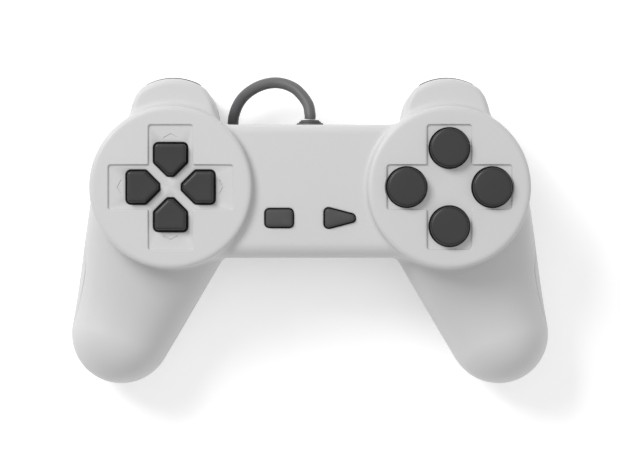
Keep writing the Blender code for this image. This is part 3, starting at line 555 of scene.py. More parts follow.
class Finish(Enum):
    """The record's material slots, each with its finish."""

    SHELL = "shell"
    KEY = "key"
    TRIGGER = "trigger"
    MENU = "menu_rubber"
    MAT = "mat_rubber"
    BOARD = "circuit_board"
    INNER = "inner_plastic"
    RIBBON = "ribbon"
    SCREW = "screw_steel"
    CORD = "cord_jacket"
    MOULDED = "moulded_rubber"
    TIE = "tie_band"
    PLUG = "plug_metal"
    PALE = "pale_plastic"
    EPOXY = "epoxy"
    SLEEVE = "capacitor_sleeve"
    CERAMIC = "ceramic"


class Wardrobe:
    """Builds each finish once, and dresses pieces and CAD nodes with it."""

    def __init__(self) -> None:
        """Make every material."""
        kinds = {
            Finish.SHELL: MouldedPlastic("shell_plastic", SHELL_GREY, 0.44),
            Finish.KEY: MouldedPlastic("key_plastic", KEY_DARK, 0.38, 0.00024, 0.000022, 0.10),
            Finish.TRIGGER: MouldedPlastic("trigger_plastic", KEY_DARK, 0.42, 0.00030, 0.000030),
            Finish.MENU: SoftRubber("menu_key_rubber", MENU_GREY, 0.58),
            Finish.MAT: SoftRubber("dome_rubber", (0.30, 0.30, 0.31), 0.55),
            Finish.BOARD: CircuitBoard("board_laminate"),
            Finish.INNER: MouldedPlastic("inner_plastic", KEY_DARK, 0.50),
            Finish.RIBBON: MouldedPlastic("ribbon_film", (0.66, 0.66, 0.63), 0.34),
            Finish.SCREW: PlatedMetal("zinc_plate", (0.62, 0.62, 0.64), 0.30, (8.0, 8.0, 1.0)),
            Finish.CORD: CordJacket("cord_vinyl", CORD_DARK),
            Finish.MOULDED: SoftRubber("moulded_vinyl", CORD_DARK, 0.50, 0.0003),
            Finish.TIE: SoftRubber("tie_rubber", (0.032, 0.032, 0.033), 0.66),
            Finish.PLUG: PlatedMetal("nickel_plate", (0.70, 0.69, 0.66)),
            Finish.PALE: MouldedPlastic("nylon", (0.72, 0.71, 0.67), 0.45),
            Finish.EPOXY: MouldedPlastic("epoxy_blob", (0.012, 0.012, 0.013), 0.26, 0.0008),
            Finish.SLEEVE: MouldedPlastic("shrink_sleeve", (0.045, 0.065, 0.16), 0.30),
            Finish.CERAMIC: MouldedPlastic("dipped_ceramic", (0.52, 0.22, 0.03), 0.30),
        }
        self.materials = {finish: kind.build() for finish, kind in kinds.items()}

    def dress_piece(self, piece: bpy.types.Object, finish: Finish, body: str) -> bpy.types.Object:
        """Give a new piece its material, its slot and the body it rides on.

        Args:
            piece: The new piece.
            finish: Its finish.
            body: The CAD body that carries it.

        Returns:
            The same piece.
        """
        piece.data.materials.clear()
        piece.data.materials.append(self.materials[finish])
        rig.ride(piece, body)
        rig.slot(piece, finish.value)
        log.info("%s: %d faces, %s", piece.name, len(piece.data.polygons), finish.value)
        return piece

    def dress_node(self, node: bpy.types.Object, finish: Finish) -> None:
        """Put a finish on every slot of a CAD node that stays visible."""
        for slot in node.material_slots:
            slot.material = self.materials[finish]


# ---------------------------------------------------------------- surfaces


@dataclass
class Skin:
    """Points and faces of one or more closed surfaces that face outward."""

    points: Array
    faces: list[Array]

    def __add__(self, other: Skin) -> Skin:
        """Both surfaces as one, not merged."""
        shifted = [block + len(self.points) for block in other.faces]
        return Skin(np.concatenate([self.points, other.points]), self.faces + shifted)

    def moved(self, x: float, y: float, z: float = 0.0) -> Skin:
        """The same surface, somewhere else."""
        return Skin(self.points + np.array([x, y, z]), self.faces)

    def turned(self, quarters: int) -> Skin:
        """The same surface, turned about the vertical axis.

        Args:
            quarters: How many quarter turns.

        Returns:
            The turned skin.
        """
        cos, sin = ((1, 0), (0, 1), (-1, 0), (0, -1))[quarters % 4]
        turn = np.array([[cos, sin, 0], [-sin, cos, 0], [0, 0, 1]], float)
        return Skin(self.points @ turn, self.faces)

    def along(self, axis: Axis) -> Skin:
        """The same surface with its upward axis laid along another one."""
        return Skin(self.points @ np.array(axis.value, float), self.faces)

    def build(self, name: str, sharp: float = 40.0) -> bpy.types.Object:
        """Put the surface in a new object at the origin.

        Args:
            name: The object's name.
            sharp: Edges bent by more than this many degrees stay sharp.

        Returns:
            The object, smooth shaded.
        """
        mesh = bpy.data.meshes.new(name)
        corners = np.concatenate([block.reshape(-1) for block in self.faces]).astype(np.int32)
        sizes = np.concatenate([np.full(len(block), block.shape[1]) for block in self.faces])
        starts = np.concatenate([[0], np.cumsum(sizes)[:-1]]).astype(np.int32)
        mesh.vertices.add(len(self.points))
        mesh.loops.add(len(corners))
        mesh.polygons.add(len(sizes))
        mesh.vertices.foreach_set("co", self.points.astype(np.float32).reshape(-1))
        mesh.loops.foreach_set("vertex_index", corners)
        mesh.polygons.foreach_set("loop_start", starts)
        mesh.update(calc_edges=True)
        obj = bpy.data.objects.new(name, mesh)
        bpy.context.scene.collection.objects.link(obj)
        soften(obj, sharp)
        return obj


class Axis(Enum):
    """Which way a skin's upward axis is laid: rows give the new directions of X, Y and Z."""

    AWAY = ((1, 0, 0), (0, 0, -1), (0, 1, 0))
    RIGHT = ((0, 1, 0), (0, 0, 1), (1, 0, 0))


def soften(obj: bpy.types.Object, sharp: float) -> None:
    """Shade smooth, with edges bent by more than sharp degrees kept sharp."""
    obj.data.shade_smooth()
    obj.data.set_sharp_from_angle(angle=math.radians(sharp))


def ring_faces(rows: int, columns: int, wrap: bool = False) -> Array:
    """Quads between rows of closed rings.

    Args:
        rows: How many rings there are.
        columns: How many points each ring has.
        wrap: Whether the last ring joins the first.

    Returns:
        One row of four point numbers for each quad.
    """
    row, column = np.mgrid[0 : rows - (not wrap), 0:columns]
    up = (row + 1) % rows
    after = (column + 1) % columns
    quads = [row * columns + column, row * columns + after]
    quads += [up * columns + after, up * columns + column]
    return np.stack(quads, axis=-1).reshape(-1, 4)


def closed_rings(rings: Array) -> Skin:
    """A skin over a stack of rings, with each end closed by a fan to its middle.

    Args:
        rings: Rows by columns by 3 positions. They turn left, seen from the last row.

    Returns:
        The closed skin.
    """
    rows, columns = rings.shape[:2]
    ends = np.stack([rings[0].mean(axis=0), rings[-1].mean(axis=0)])
    points = np.concatenate([rings.reshape(-1, 3), ends])
    first = np.arange(columns)
    after = (first + 1) % columns
    low = np.stack([np.full(columns, rows * columns), after, first], axis=-1)
    base = (rows - 1) * columns
    high = np.stack([np.full(columns, rows * columns + 1), base + first, base + after], axis=-1)
    return Skin(points, [ring_faces(rows, columns), low, high])


def lathe(profile: Sequence[Sequence[float]], steps: int = 64) -> Skin:
    """A profile carried round the upward axis: x = r cos a, y = r sin a.

    Args:
        profile: Rows of radius and height in millimetres, from one end to the other.
        steps: Points round the axis.

    Returns:
        The closed skin, in metres.
    """
    rows = np.array(profile, float) * MM
    angle = np.linspace(0, math.tau, steps, endpoint=False)
    radius, height = rows[:, :1], rows[:, 1:]
    spin = [radius * np.cos(angle), radius * np.sin(angle), height + 0 * angle]
    return closed_rings(np.stack(spin, axis=-1))


CROWN_DEPTH = 1.2
TOP_RINGS = (0.72, 0.42, 0.15)


@dataclass
class Outline:
    """A closed plan: corners in millimetres, turning left, each with its own round."""

    corners: Array
    rounds: Array
    steps: int = 7
    least_round: float = 0.02

    def points(self, grow: float) -> Array:
        """The plan's points, its every edge moved outward by grow millimetres.

        A corner that turns by an angle becomes an arc through that angle. Its radius is
        its round plus grow where the plan is convex, and its round less grow in a notch.

        Args:
            grow: How far the edges move, in millimetres.

        Returns:
            Rows of x and y, in millimetres.
        """
        ahead = np.roll(self.corners, -1, axis=0) - self.corners
        ahead = ahead / np.linalg.norm(ahead, axis=1, keepdims=True)
        behind = np.roll(ahead, 1, axis=0)
        out_after = np.stack([ahead[:, 1], -ahead[:, 0]], axis=-1)
        out_before = np.roll(out_after, 1, axis=0)
        crossed = behind[:, 0] * ahead[:, 1] - behind[:, 1] * ahead[:, 0]
        turn = np.arctan2(crossed, (behind * ahead).sum(axis=1))
        bend = np.sign(turn)[:, None]
        mitre = (out_before + out_after) / (1 + (out_before * out_after).sum(1, keepdims=True))
        radius = np.maximum(self.rounds[:, None] + bend * grow, self.least_round)
        centre = self.corners + grow * mitre - bend * radius * mitre
        start = np.arctan2(out_before[:, 1], out_before[:, 0])
        angle = start[:, None] + turn[:, None] * np.linspace(0, 1, self.steps)
        arc = np.stack([np.cos(angle), np.sin(angle)], axis=-1)
        return (centre[:, None] + (bend * radius)[:, None] * arc).reshape(-1, 2)

    def skin(
        self,
        profile: Sequence[Sequence[float]],
        crown: Callable[[Array, Array], Array] | None = None,
    ) -> Skin:
        """Carry the plan up a profile.

        Args:
            profile: Rows of growth and height in millimetres, from the bottom up.
            crown: Extra height of the top, in millimetres, from x and y. It fades to
                nothing CROWN_DEPTH below the top.

        Returns:
            The closed skin, in metres. Three shrinking copies of the last ring fill the top.
        """
        rings = [
            np.column_stack([self.points(grow), np.full(len(self.corners) * self.steps, height)])
            for grow, height in profile
        ]
        top = rings[-1]
        middle = top.mean(axis=0)
        rings += [middle + (top - middle) * share for share in TOP_RINGS]
        stack = np.array(rings)
        if crown is not None:
            start = profile[-1][1] - CROWN_DEPTH
            lift = np.clip((stack[..., 2] - start) / CROWN_DEPTH, 0, 1)
            stack[..., 2] += lift * crown(stack[..., 0], stack[..., 1])
        return closed_rings(stack * MM)


def box_outline(half_x: float, half_y: float, round_: float, steps: int = 7) -> Outline:
    """A rectangle's plan with four equal rounds."""
    corners = np.array([[1, -1], [1, 1], [-1, 1], [-1, -1]]) * np.array([half_x, half_y])
    return Outline(corners.astype(float), np.full(4, round_), steps)


def swept_loop(path: Array, section: Array) -> Skin:
    """A closed section carried round a closed path that lies in a Y-Z plane.

    Args:
        path: Points of the loop, turning left seen from +X, in metres.
        section: Points of (outward distance, x), turning so that the skin faces out.

    Returns:
        The ring-shaped skin.
    """
    ahead = np.roll(path, -1, axis=0) - np.roll(path, 1, axis=0)
    outward = cross_unit(ahead, np.array([[1.0, 0.0, 0.0]]))
    rings = path[:, None] + outward[:, None] * section[None, :, :1]
    rings = rings + section[None, :, 1:] * np.array([1.0, 0.0, 0.0])
    return Skin(rings.reshape(-1, 3), [ring_faces(len(path), len(section), True)])


def carve(target: bpy.types.Object, operation: str, tool: Skin, sharp: float = 33.0) -> None:
    """Cut, join or keep the common part of a piece and a tool.

    Args:
        target: The piece; its mesh is replaced.
        operation: DIFFERENCE, UNION or INTERSECT.
        tool: A closed skin whose shells don't cross one another.
        sharp: Edge angle in degrees past which shading stays sharp.
    """
    helper = tool.build("tool")
    change = target.modifiers.new("carve", "BOOLEAN")
    change.operation = operation
    change.object = helper
    change.solver = "MANIFOLD"
    graph = bpy.context.evaluated_depsgraph_get()
    mesh = bpy.data.meshes.new_from_object(target.evaluated_get(graph))
    target.modifiers.clear()
    target.data = mesh
    bpy.data.objects.remove(helper)
    soften(target, sharp)


def smooth_step(value: Array) -> Array:
    """3 t squared less 2 t cubed, with t the value held between 0 and 1."""
    t = np.clip(value, 0, 1)
    return t * t * (3 - 2 * t)


def smooth_path(points: Array, spacing: float, fineness: int = 24) -> Array:
    """Evenly spaced points on the Catmull-Rom curve through the given points.

    Each span is the cubic that leaves a point along the line between its neighbours.

    Args:
        points: The points that the curve passes through.
        spacing: The distance between the new points, in metres.
        fineness: Points worked out in each span before they are evened out.

    Returns:
        The new points.
    """
    guide = np.concatenate([[2 * points[0] - points[1]], points, [2 * points[-1] - points[-2]]])
    before, start, end, after = (guide[i : len(guide) - 3 + i, None] for i in range(4))
    t = np.linspace(0, 1, fineness, endpoint=False)[None, :, None]
    fine = 2 * start + (end - before) * t
    fine = fine + (2 * before - 5 * start + 4 * end - after) * t**2
    fine = fine + (3 * start - before - 3 * end + after) * t**3
    fine = np.concatenate([(fine / 2).reshape(-1, 3), points[-1:]])
    walked = np.concatenate([[0], np.cumsum(np.linalg.norm(np.diff(fine, axis=0), axis=1))])
    wanted = np.linspace(0, walked[-1], max(int(round(walked[-1] / spacing)), 2) + 1)
    return np.stack([np.interp(wanted, walked, fine[:, axis]) for axis in range(3)], axis=-1)


def cross_unit(first: Array, second: Array) -> Array:
    """Unit cross products, row by row."""
    product = np.cross(first, second)
    return product / np.linalg.norm(product, axis=-1, keepdims=True)


def facing_out(skin: Skin) -> Skin:
    """The same skin, its faces turned over if its volume comes out negative.

    Args:
        skin: A closed skin.

    Returns:
        The skin with its faces outward.
    """
    volume = 0.0
    for block in skin.faces:
        for corner in range(1, block.shape[1] - 1):
            a, b, c = (skin.points[block[:, i]] for i in (0, corner, corner + 1))
            volume += float((a * np.cross(b, c)).sum())
    return skin if volume > 0 else Skin(skin.points, [block[:, ::-1] for block in skin.faces])


def added(skins: Iterable[Skin]) -> Skin:
    """Several skins as one.

    Args:
        skins: At least one skin.

    Returns:
        All of them, not merged.
    """
    first, *others = skins
    for other in others:
        first = first + other
    return first


# ---------------------------------------------------------------- surface of a field


Field = Callable[[Array, Array, Array], Array]


def net_of(field_: Field, low: Sequence[float], high: Sequence[float], cell: float) -> Skin:
    """The zero surface of a field, as quads with one point in each cell that it crosses.

    Args:
        field_: Depth at x, y and z in metres, negative inside.
        low: The box's lowest corner.
        high: The box's highest corner.
        cell: The grid's step.

    Returns:
        The closed skin, its points drawn onto the surface by Newton's steps.
    """
    sides = [np.arange(low[axis], high[axis] + cell, cell) for axis in range(3)]
    value = field_(*np.meshgrid(*sides, indexing="ij"))
    shape = tuple(size - 1 for size in value.shape)
    total, count = np.zeros((*shape, 3)), np.zeros(shape, np.int32)
    crossings = []
    for axis in range(3):
        order = (axis, (axis + 1) % 3, (axis + 2) % 3)
        turned_value = value.transpose(order)
        turned_total, turned_count = total.transpose(*order, 3), count.transpose(order)
        start, end = turned_value[:-1], turned_value[1:]
        crossed = (start < 0) != (end < 0)
        part = np.where(crossed, start / np.where(crossed, start - end, 1.0), 0.0)
        grid = np.meshgrid(*(np.arange(size) for size in crossed.shape), indexing="ij")
        spot = [np.where(crossed, grid[0] + part, 0)]
        spot += [np.where(crossed, grid[1], 0), np.where(crossed, grid[2], 0)]
        for second in (slice(1, None), slice(None, -1)):
            for third in (slice(1, None), slice(None, -1)):
                turned_count += crossed[:, second, third]
                for place in range(3):
                    turned_total[..., order[place]] += spot[place][:, second, third]
        inner = crossed[:, 1:-1, 1:-1]
        crossings.append((order, inner, (start < 0)[:, 1:-1, 1:-1]))
    used = count > 0
    number = np.full(shape, -1, np.int64)
    number[used] = np.arange(used.sum())
    points = total[used] / count[used][:, None] * cell + np.array([side[0] for side in sides])
    faces = []
    for order, inner, outward in crossings:
        index = number.transpose(order)
        corners = [index[:, :-1, :-1], index[:, 1:, :-1], index[:, 1:, 1:], index[:, :-1, 1:]]
        quads = np.stack([corner[inner] for corner in corners], axis=-1)
        flip = ~outward[inner]
        quads[flip] = quads[flip][:, ::-1]
        faces.append(quads)
    return Skin(settled(field_, points, cell), [np.concatenate(faces)])


def settled(field_: Field, points: Array, cell: float, rounds: int = 3) -> Array:
    """Move points onto the zero surface: each step goes back along the slope by value / slope.

    Args:
        field_: Depth at x, y and z in metres, negative inside.
        points: Points near the surface.
        cell: The grid's step; no point moves more than half of it in a round.
        rounds: How many steps each point takes.

    Returns:
        The moved points.
    """
    reach = cell * 0.12
    least_slope = 0.2
    for _ in range(rounds):
        value = field_(*points.T)
        ahead = [field_(*(points + reach * step).T) for step in np.eye(3)]
        behind = [field_(*(points - reach * step).T) for step in np.eye(3)]
        slope = (np.stack(ahead, axis=-1) - np.stack(behind, axis=-1)) / (2 * reach)
        steep = np.maximum((slope**2).sum(axis=-1), least_slope)
        move = (-value / steep)[:, None] * slope
        size = np.linalg.norm(move, axis=-1, keepdims=True)
        points = points + move * np.minimum(1, 0.5 * cell / np.maximum(size, 1e-9))
    return points


def softer_min(first: Array, second: Array, blend: float) -> Array:
    """The lesser of two depths, with the crease between them filled by blend metres."""
    share = np.maximum(blend - np.abs(first - second), 0) / blend
    return np.minimum(first, second) - share**2 * blend / 4


def rounded(first: Array, second: Array, round_: Array | float) -> Array:
    """The depth inside both of two depths, with a round where their surfaces meet.

    Args:
        first: One depth.
        second: The other.
        round_: The round's radius, in metres.

    Returns:
        The joint depth.
    """
    a, b = first + round_, second + round_
    outside = np.hypot(np.maximum(a, 0), np.maximum(b, 0))
    return outside + np.minimum(np.maximum(a, b), 0) - round_


# ---------------------------------------------------------------- camera, light, floor


@dataclass
class Studio:
    """The camera straight above the controller, the soft lights and the pale floor."""

    view_width: float = 0.190
    distance: float = 0.78
    sensor: float = 36.0
    aim: tuple[float, float] = (0.0, 0.0)
    aim_height: float = 0.038
    sky: float = 0.38
    lights: Sequence[tuple[str, tuple[float, float, float], float, float]] = (
        ("key_light", (-0.60, 0.60, 0.80), 0.50, 9.0),
        ("fill_light", (0.75, -0.35, 0.80), 0.90, 1.2),
        ("top_light", (0.05, 0.10, 1.30), 1.10, 2.8),
    )
    floor_half: float = 2.4
    floor_flat: float = 0.6
    floor_rise: float = 0.05
    floor_drop: float = 0.00005
    floor_cells: int = 40

    def add_camera(self) -> None:
        """Look straight down, with +Y up in the view."""
        data = bpy.data.cameras.new("camera")
        data.sensor_width = self.sensor
        data.lens = self.sensor * self.distance / self.view_width
        data.clip_start, data.clip_end = 0.01, 20
        camera = bpy.data.objects.new("camera", data)
        camera.location = (*self.aim, self.aim_height + self.distance)
        bpy.context.scene.collection.objects.link(camera)
        bpy.context.scene.camera = camera

    def add_light(self, name: str, place: Sequence[float], size: float, power: float) -> None:
        """Hang a square soft light that faces the controller.

        Args:
            name: The light's name.
            place: Where it hangs, in metres.
            size: Its side, in metres.
            power: Its power, in watts.
        """
        data = bpy.data.lights.new(name, "AREA")
        data.size, data.energy = size, power
        light = bpy.data.objects.new(name, data)
        facing = -np.array(place, float)
        facing = facing / np.linalg.norm(facing)
        side = cross_unit(np.array([[0.0, 1.0, 0.02]]), -facing[None])[0]
        rise = np.cross(-facing, side)
        rows = [(side[i], rise[i], -facing[i], place[i]) for i in range(3)]
        light.matrix_world = Matrix([*rows, (0, 0, 0, 1)])
        bpy.context.scene.collection.objects.link(light)

    def add_floor(self) -> None:
        """Lay a wide sheet, its rim gently raised, a hair under the controller.

        It is level in the middle, and rises with the square of the distance past floor_flat.
        """
        side = self.floor_cells + 1
        step = np.linspace(-1, 1, side) * self.floor_half
        x, y = np.meshgrid(step, step, indexing="ij")
        reach = np.maximum(np.hypot(x, y) - self.floor_flat, 0)
        z = self.floor_rise * reach**2 - self.floor_drop
        points = np.stack([x, y, z], axis=-1).reshape(-1, 3)
        row, column = np.mgrid[0 : self.floor_cells, 0 : self.floor_cells]
        first = row * side + column
        corners = [first, first + side, first + side + 1, first + 1]
        quads = np.stack(corners, axis=-1).reshape(-1, 4)
        floor = Skin(points, [quads]).build("studio_floor")
        floor.data.materials.append(StudioFloor().build())
        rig.stage(floor)

    def build(self) -> None:
        """Set up the whole studio."""
        self.add_camera()
        for name, place, size, power in self.lights:
            self.add_light(name, place, size, power)
        world = bpy.data.worlds.new("studio_world")
        world.use_nodes = True
        background = world.node_tree.nodes["Background"]
        background.inputs["Color"].default_value = (1.0, 1.0, 1.0, 1.0)
        background.inputs["Strength"].default_value = self.sky
        bpy.context.scene.world = world
        bpy.context.scene.view_settings.view_transform = "Standard"
        self.add_floor()


# ---------------------------------------------------------------- cord


@dataclass
class Cord:
    """The cord: its visible arch, the hank wound out of sight, and the plug's tail.

    The hank is wound clockwise round two fold centres. Each turn keeps one radius and one
    height, and moves to the next turn's place on a short run that starts a little earlier
    each time, so that no turn passes through another.
    """

    diameter: float = 0.0035
    length: float = 1.5
    exit: tuple[float, float, float] = (0.0, 0.0353, OUTLET_HEIGHT)
    straight: float = 0.060
    outer: float = 0.0140
    inner: float = 0.0105
    first_layer: float = 0.00285
    groove_rise: float = 0.87
    start_turn: float = -0.045
    last_turn: float = 0.318
    turn_steps: int = 64
    change_at: float = 0.005
    change_earlier: float = 0.112
    change_span: float = 0.105
    spacing: float = 0.0010
    grain_per_metre: float = 25.0
    lead: Sequence[Sequence[float]] = (
        (0.0, 0.0, 0.0),
        (0.0, 0.0016, 0.0),
        (-0.0009, 0.0052, -0.0016),
        (-0.0048, 0.0098, -0.0050),
        (-0.0105, 0.0118, -0.0086),
        (-0.0166, 0.0107, -0.0122),
        (-0.0217, 0.0070, -0.0152),
        (-0.0243, 0.0014, -0.0180),
        (-0.0241, -0.0040, -0.0203),
        (-0.0222, -0.0082, -0.0218),
        (-0.0190, -0.0102, -0.0227),
        (-0.0152, -0.0113, -0.0231),
    )
    tail: Sequence[Sequence[float]] = (
        (-0.0208, 0.0052, 0.0083),
        (-0.0160, 0.0035, 0.0064),
        (-0.0105, 0.0015, 0.0031),
        (-0.0068, 0.0003, 0.0006),
        (-0.0042, 0.0, 0.0),
        (-0.0018, 0.0, 0.0),
    )

    def slots(self) -> Array:
        """Radius and height of each turn, in winding order.

        Two turns lie side by side in each of three layers, and the last in the groove on top.

        Returns:
            Rows of radius and height, in metres.
        """
        low = self.first_layer
        middle, high = low + self.diameter, low + 2 * self.diameter
        groove = high + self.groove_rise * self.diameter
        between = (self.outer + self.inner) / 2
        order = [(self.outer, low), (self.inner, low), (self.inner, middle), (self.outer, middle)]
        order += [(self.outer, high), (self.inner, high), (between, groove)]
        return np.array(order)

    def track(self, share: Array, radius: Array) -> tuple[Array, Array]:
        """A point on the clockwise slot-shaped loop.

        Args:
            share: How far round, from 0 to 1, starting at the far side's middle.
            radius: The loop's radius there.

        Returns:
            x and y. On the straights y stays at plus or minus the radius; on the folds the
            point turns about the fold's centre.
        """
        half = self.straight / 2
        fold = math.pi * (self.outer + self.inner) / 2
        total = 2 * self.straight + 2 * fold
        walked = (share % 1.0) * total
        marks = np.cumsum([half, fold, self.straight, fold])
        right = (walked - marks[0]) / fold
        left = (walked - marks[2]) / fold
        angle_right = math.pi / 2 - math.pi * right
        angle_left = -math.pi / 2 - math.pi * left
        runs = [walked < mark for mark in marks]
        right_x = half + radius * np.cos(angle_right)
        left_x = -half + radius * np.cos(angle_left)
        x = np.select(runs, [walked, right_x, half - (walked - marks[1]), left_x], walked - total)
        right_y, left_y = radius * np.sin(angle_right), radius * np.sin(angle_left)
        return x, np.select(runs, [radius, right_y, -radius, left_y], radius)

    def hank(self) -> Array:
        """The wound turns, each slot blending into the next over change_span of a turn.

        Returns:
            Points from the first turn to the last, in metres.
        """
        slots = self.slots()
        place = np.arange(self.start_turn, len(slots) - self.last_turn, 1 / self.turn_steps)
        radius = np.full_like(place, slots[0, 0])
        height = np.full_like(place, slots[0, 1])
        for turn in range(1, len(slots)):
            change = turn - self.change_at - self.change_earlier * (turn - 1)
            ease = smooth_step((place - change) / self.change_span + 1.0)
            radius += ease * (slots[turn, 0] - slots[turn - 1, 0])
            height += ease * (slots[turn, 1] - slots[turn - 1, 1])
        x, y = self.track(place, radius)
        return np.stack([x, HANK_LINE + y, height], axis=-1)

    def drop_in(self, last: Array) -> Array:
        """The run from the top turn round the left fold: an arc that humps a little.

        Args:
            last: Where the top turn ends.

        Returns:
            The arc's points past that end, in metres.
        """
        centre, radius, hump, margin = (-0.0305, HANK_LINE - 0.0024), 0.0098, 0.0006, 0.002
        angle = np.radians(np.arange(262.0, 107.0, -22.0))
        x = centre[0] + radius * np.cos(angle)
        y = centre[1] + radius * np.sin(angle)
        z = self.slots()[-1, 1] + hump * np.sin(np.linspace(0, math.pi, len(angle)))
        return np.stack([x, y, z], axis=-1)[x < last[0] - margin]

    def points(self) -> Array:
        """The whole route, from the outlet to the plug.

        Returns:
            Points every spacing metres.
        """
        lead = np.array(self.lead) + np.array(self.exit)
        turns = self.hank()
        over = self.drop_in(turns[-1])
        step = np.array([[-0.0268, HANK_LINE + 0.0068, 0.01285]])
        tail = np.array(self.tail) + np.array([0.0, HANK_LINE, PLUG_HEIGHT])
        return smooth_path(np.concatenate([lead, turns, over, step, tail]), self.spacing)

    def tube(self, path: Array, sides: int = 12) -> bpy.types.Object:
        """A round section carried along the path: middle plus r times (n cos a plus s sin a).

        The path is never upright, so n is the part of the upward axis that is square to it,
        and s is square to both.

        Args:
            path: Points along the middle of the cord.
            sides: Points round the section.

        Returns:
            The cord as one closed mesh, with a UV map of turns round by metres along.
        """
        ahead = np.gradient(path, axis=0)
        ahead = ahead / np.linalg.norm(ahead, axis=1, keepdims=True)
        sideways = cross_unit(ahead, np.array([[0.0, 0.0, 1.0]]))
        normals = np.cross(sideways, ahead)
        angle = np.linspace(0, math.tau, sides, endpoint=False)[None, :, None]
        radius = self.diameter / 2
        round_ = normals[:, None] * np.cos(angle) + sideways[:, None] * np.sin(angle)
        cord = closed_rings(path[:, None] + radius * round_).build("cord", 60.0)
        layer = cord.data.uv_layers.new(name="along")
        index = np.empty(len(cord.data.loops), np.int32)
        cord.data.loops.foreach_get("vertex_index", index)
        along = np.minimum(index // sides, len(path) - 1) * self.spacing
        places = np.stack([(index % sides) / sides, along * self.grain_per_metre], axis=-1)
        layer.data.foreach_set("uv", places.ravel())
        return cord

    def build(self, wardrobe: Wardrobe, with_pieces: Iterable[object]) -> bpy.types.Object:
        """Args:
            wardrobe: The finishes.
            with_pieces: The plug, tie and strain relief.

        Returns:
            The cord's tube.
        """
        path = self.points()
        length = float(np.linalg.norm(np.diff(path, axis=0), axis=1).sum())
        log.info("cord length %.3f m", length)
        piece = wardrobe.dress_piece(self.tube(path), Finish.CORD, HOUSING)
        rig.replaces(piece, "cord_lead", "cord_hank", "cord_tail")
        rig.cord(
            piece,
            exit=self.exit,
            length=self.length,
            diameter=self.diameter,
            far_end="plug",
            stiffness="medium",
            lay="coiled",
            path=path[::3],
            with_pieces=list(with_pieces),
        )
        return piece


# ---------------------------------------------------------------- housing


@dataclass(frozen=True)
class ScrewSite:
    """Where a screw stands: its place in metres, and its heights in millimetres.

    The head's well is wide at its mouth, and narrows a little between the two heights of
    mouth. The head rests at seat, and the bore ends at top.
    """

    names: tuple[str, ...]
    x: float
    y: float
    seat: float
    top: float
    mouth: tuple[float, float]

    def sides(self) -> list[tuple[str, float]]:
        """Each screw's name and its distance right of the middle."""
        return list(zip(self.names, (-self.x, self.x) if self.x else (self.x,)))


SCREW_SITES = (
    ScrewSite(("screw_left_grip", "screw_right_grip"), 0.05465, -0.0234, 8.0, 26.0, (0.05, 0.5)),
    ScrewSite(("screw_left_back", "screw_right_back"), 0.0170, 0.0263, 23.0, 38.5, (17.2, 17.6)),
    ScrewSite(("screw_centre",), 0.0, 0.0135, 23.0, 38.5, (17.2, 17.6)),
)


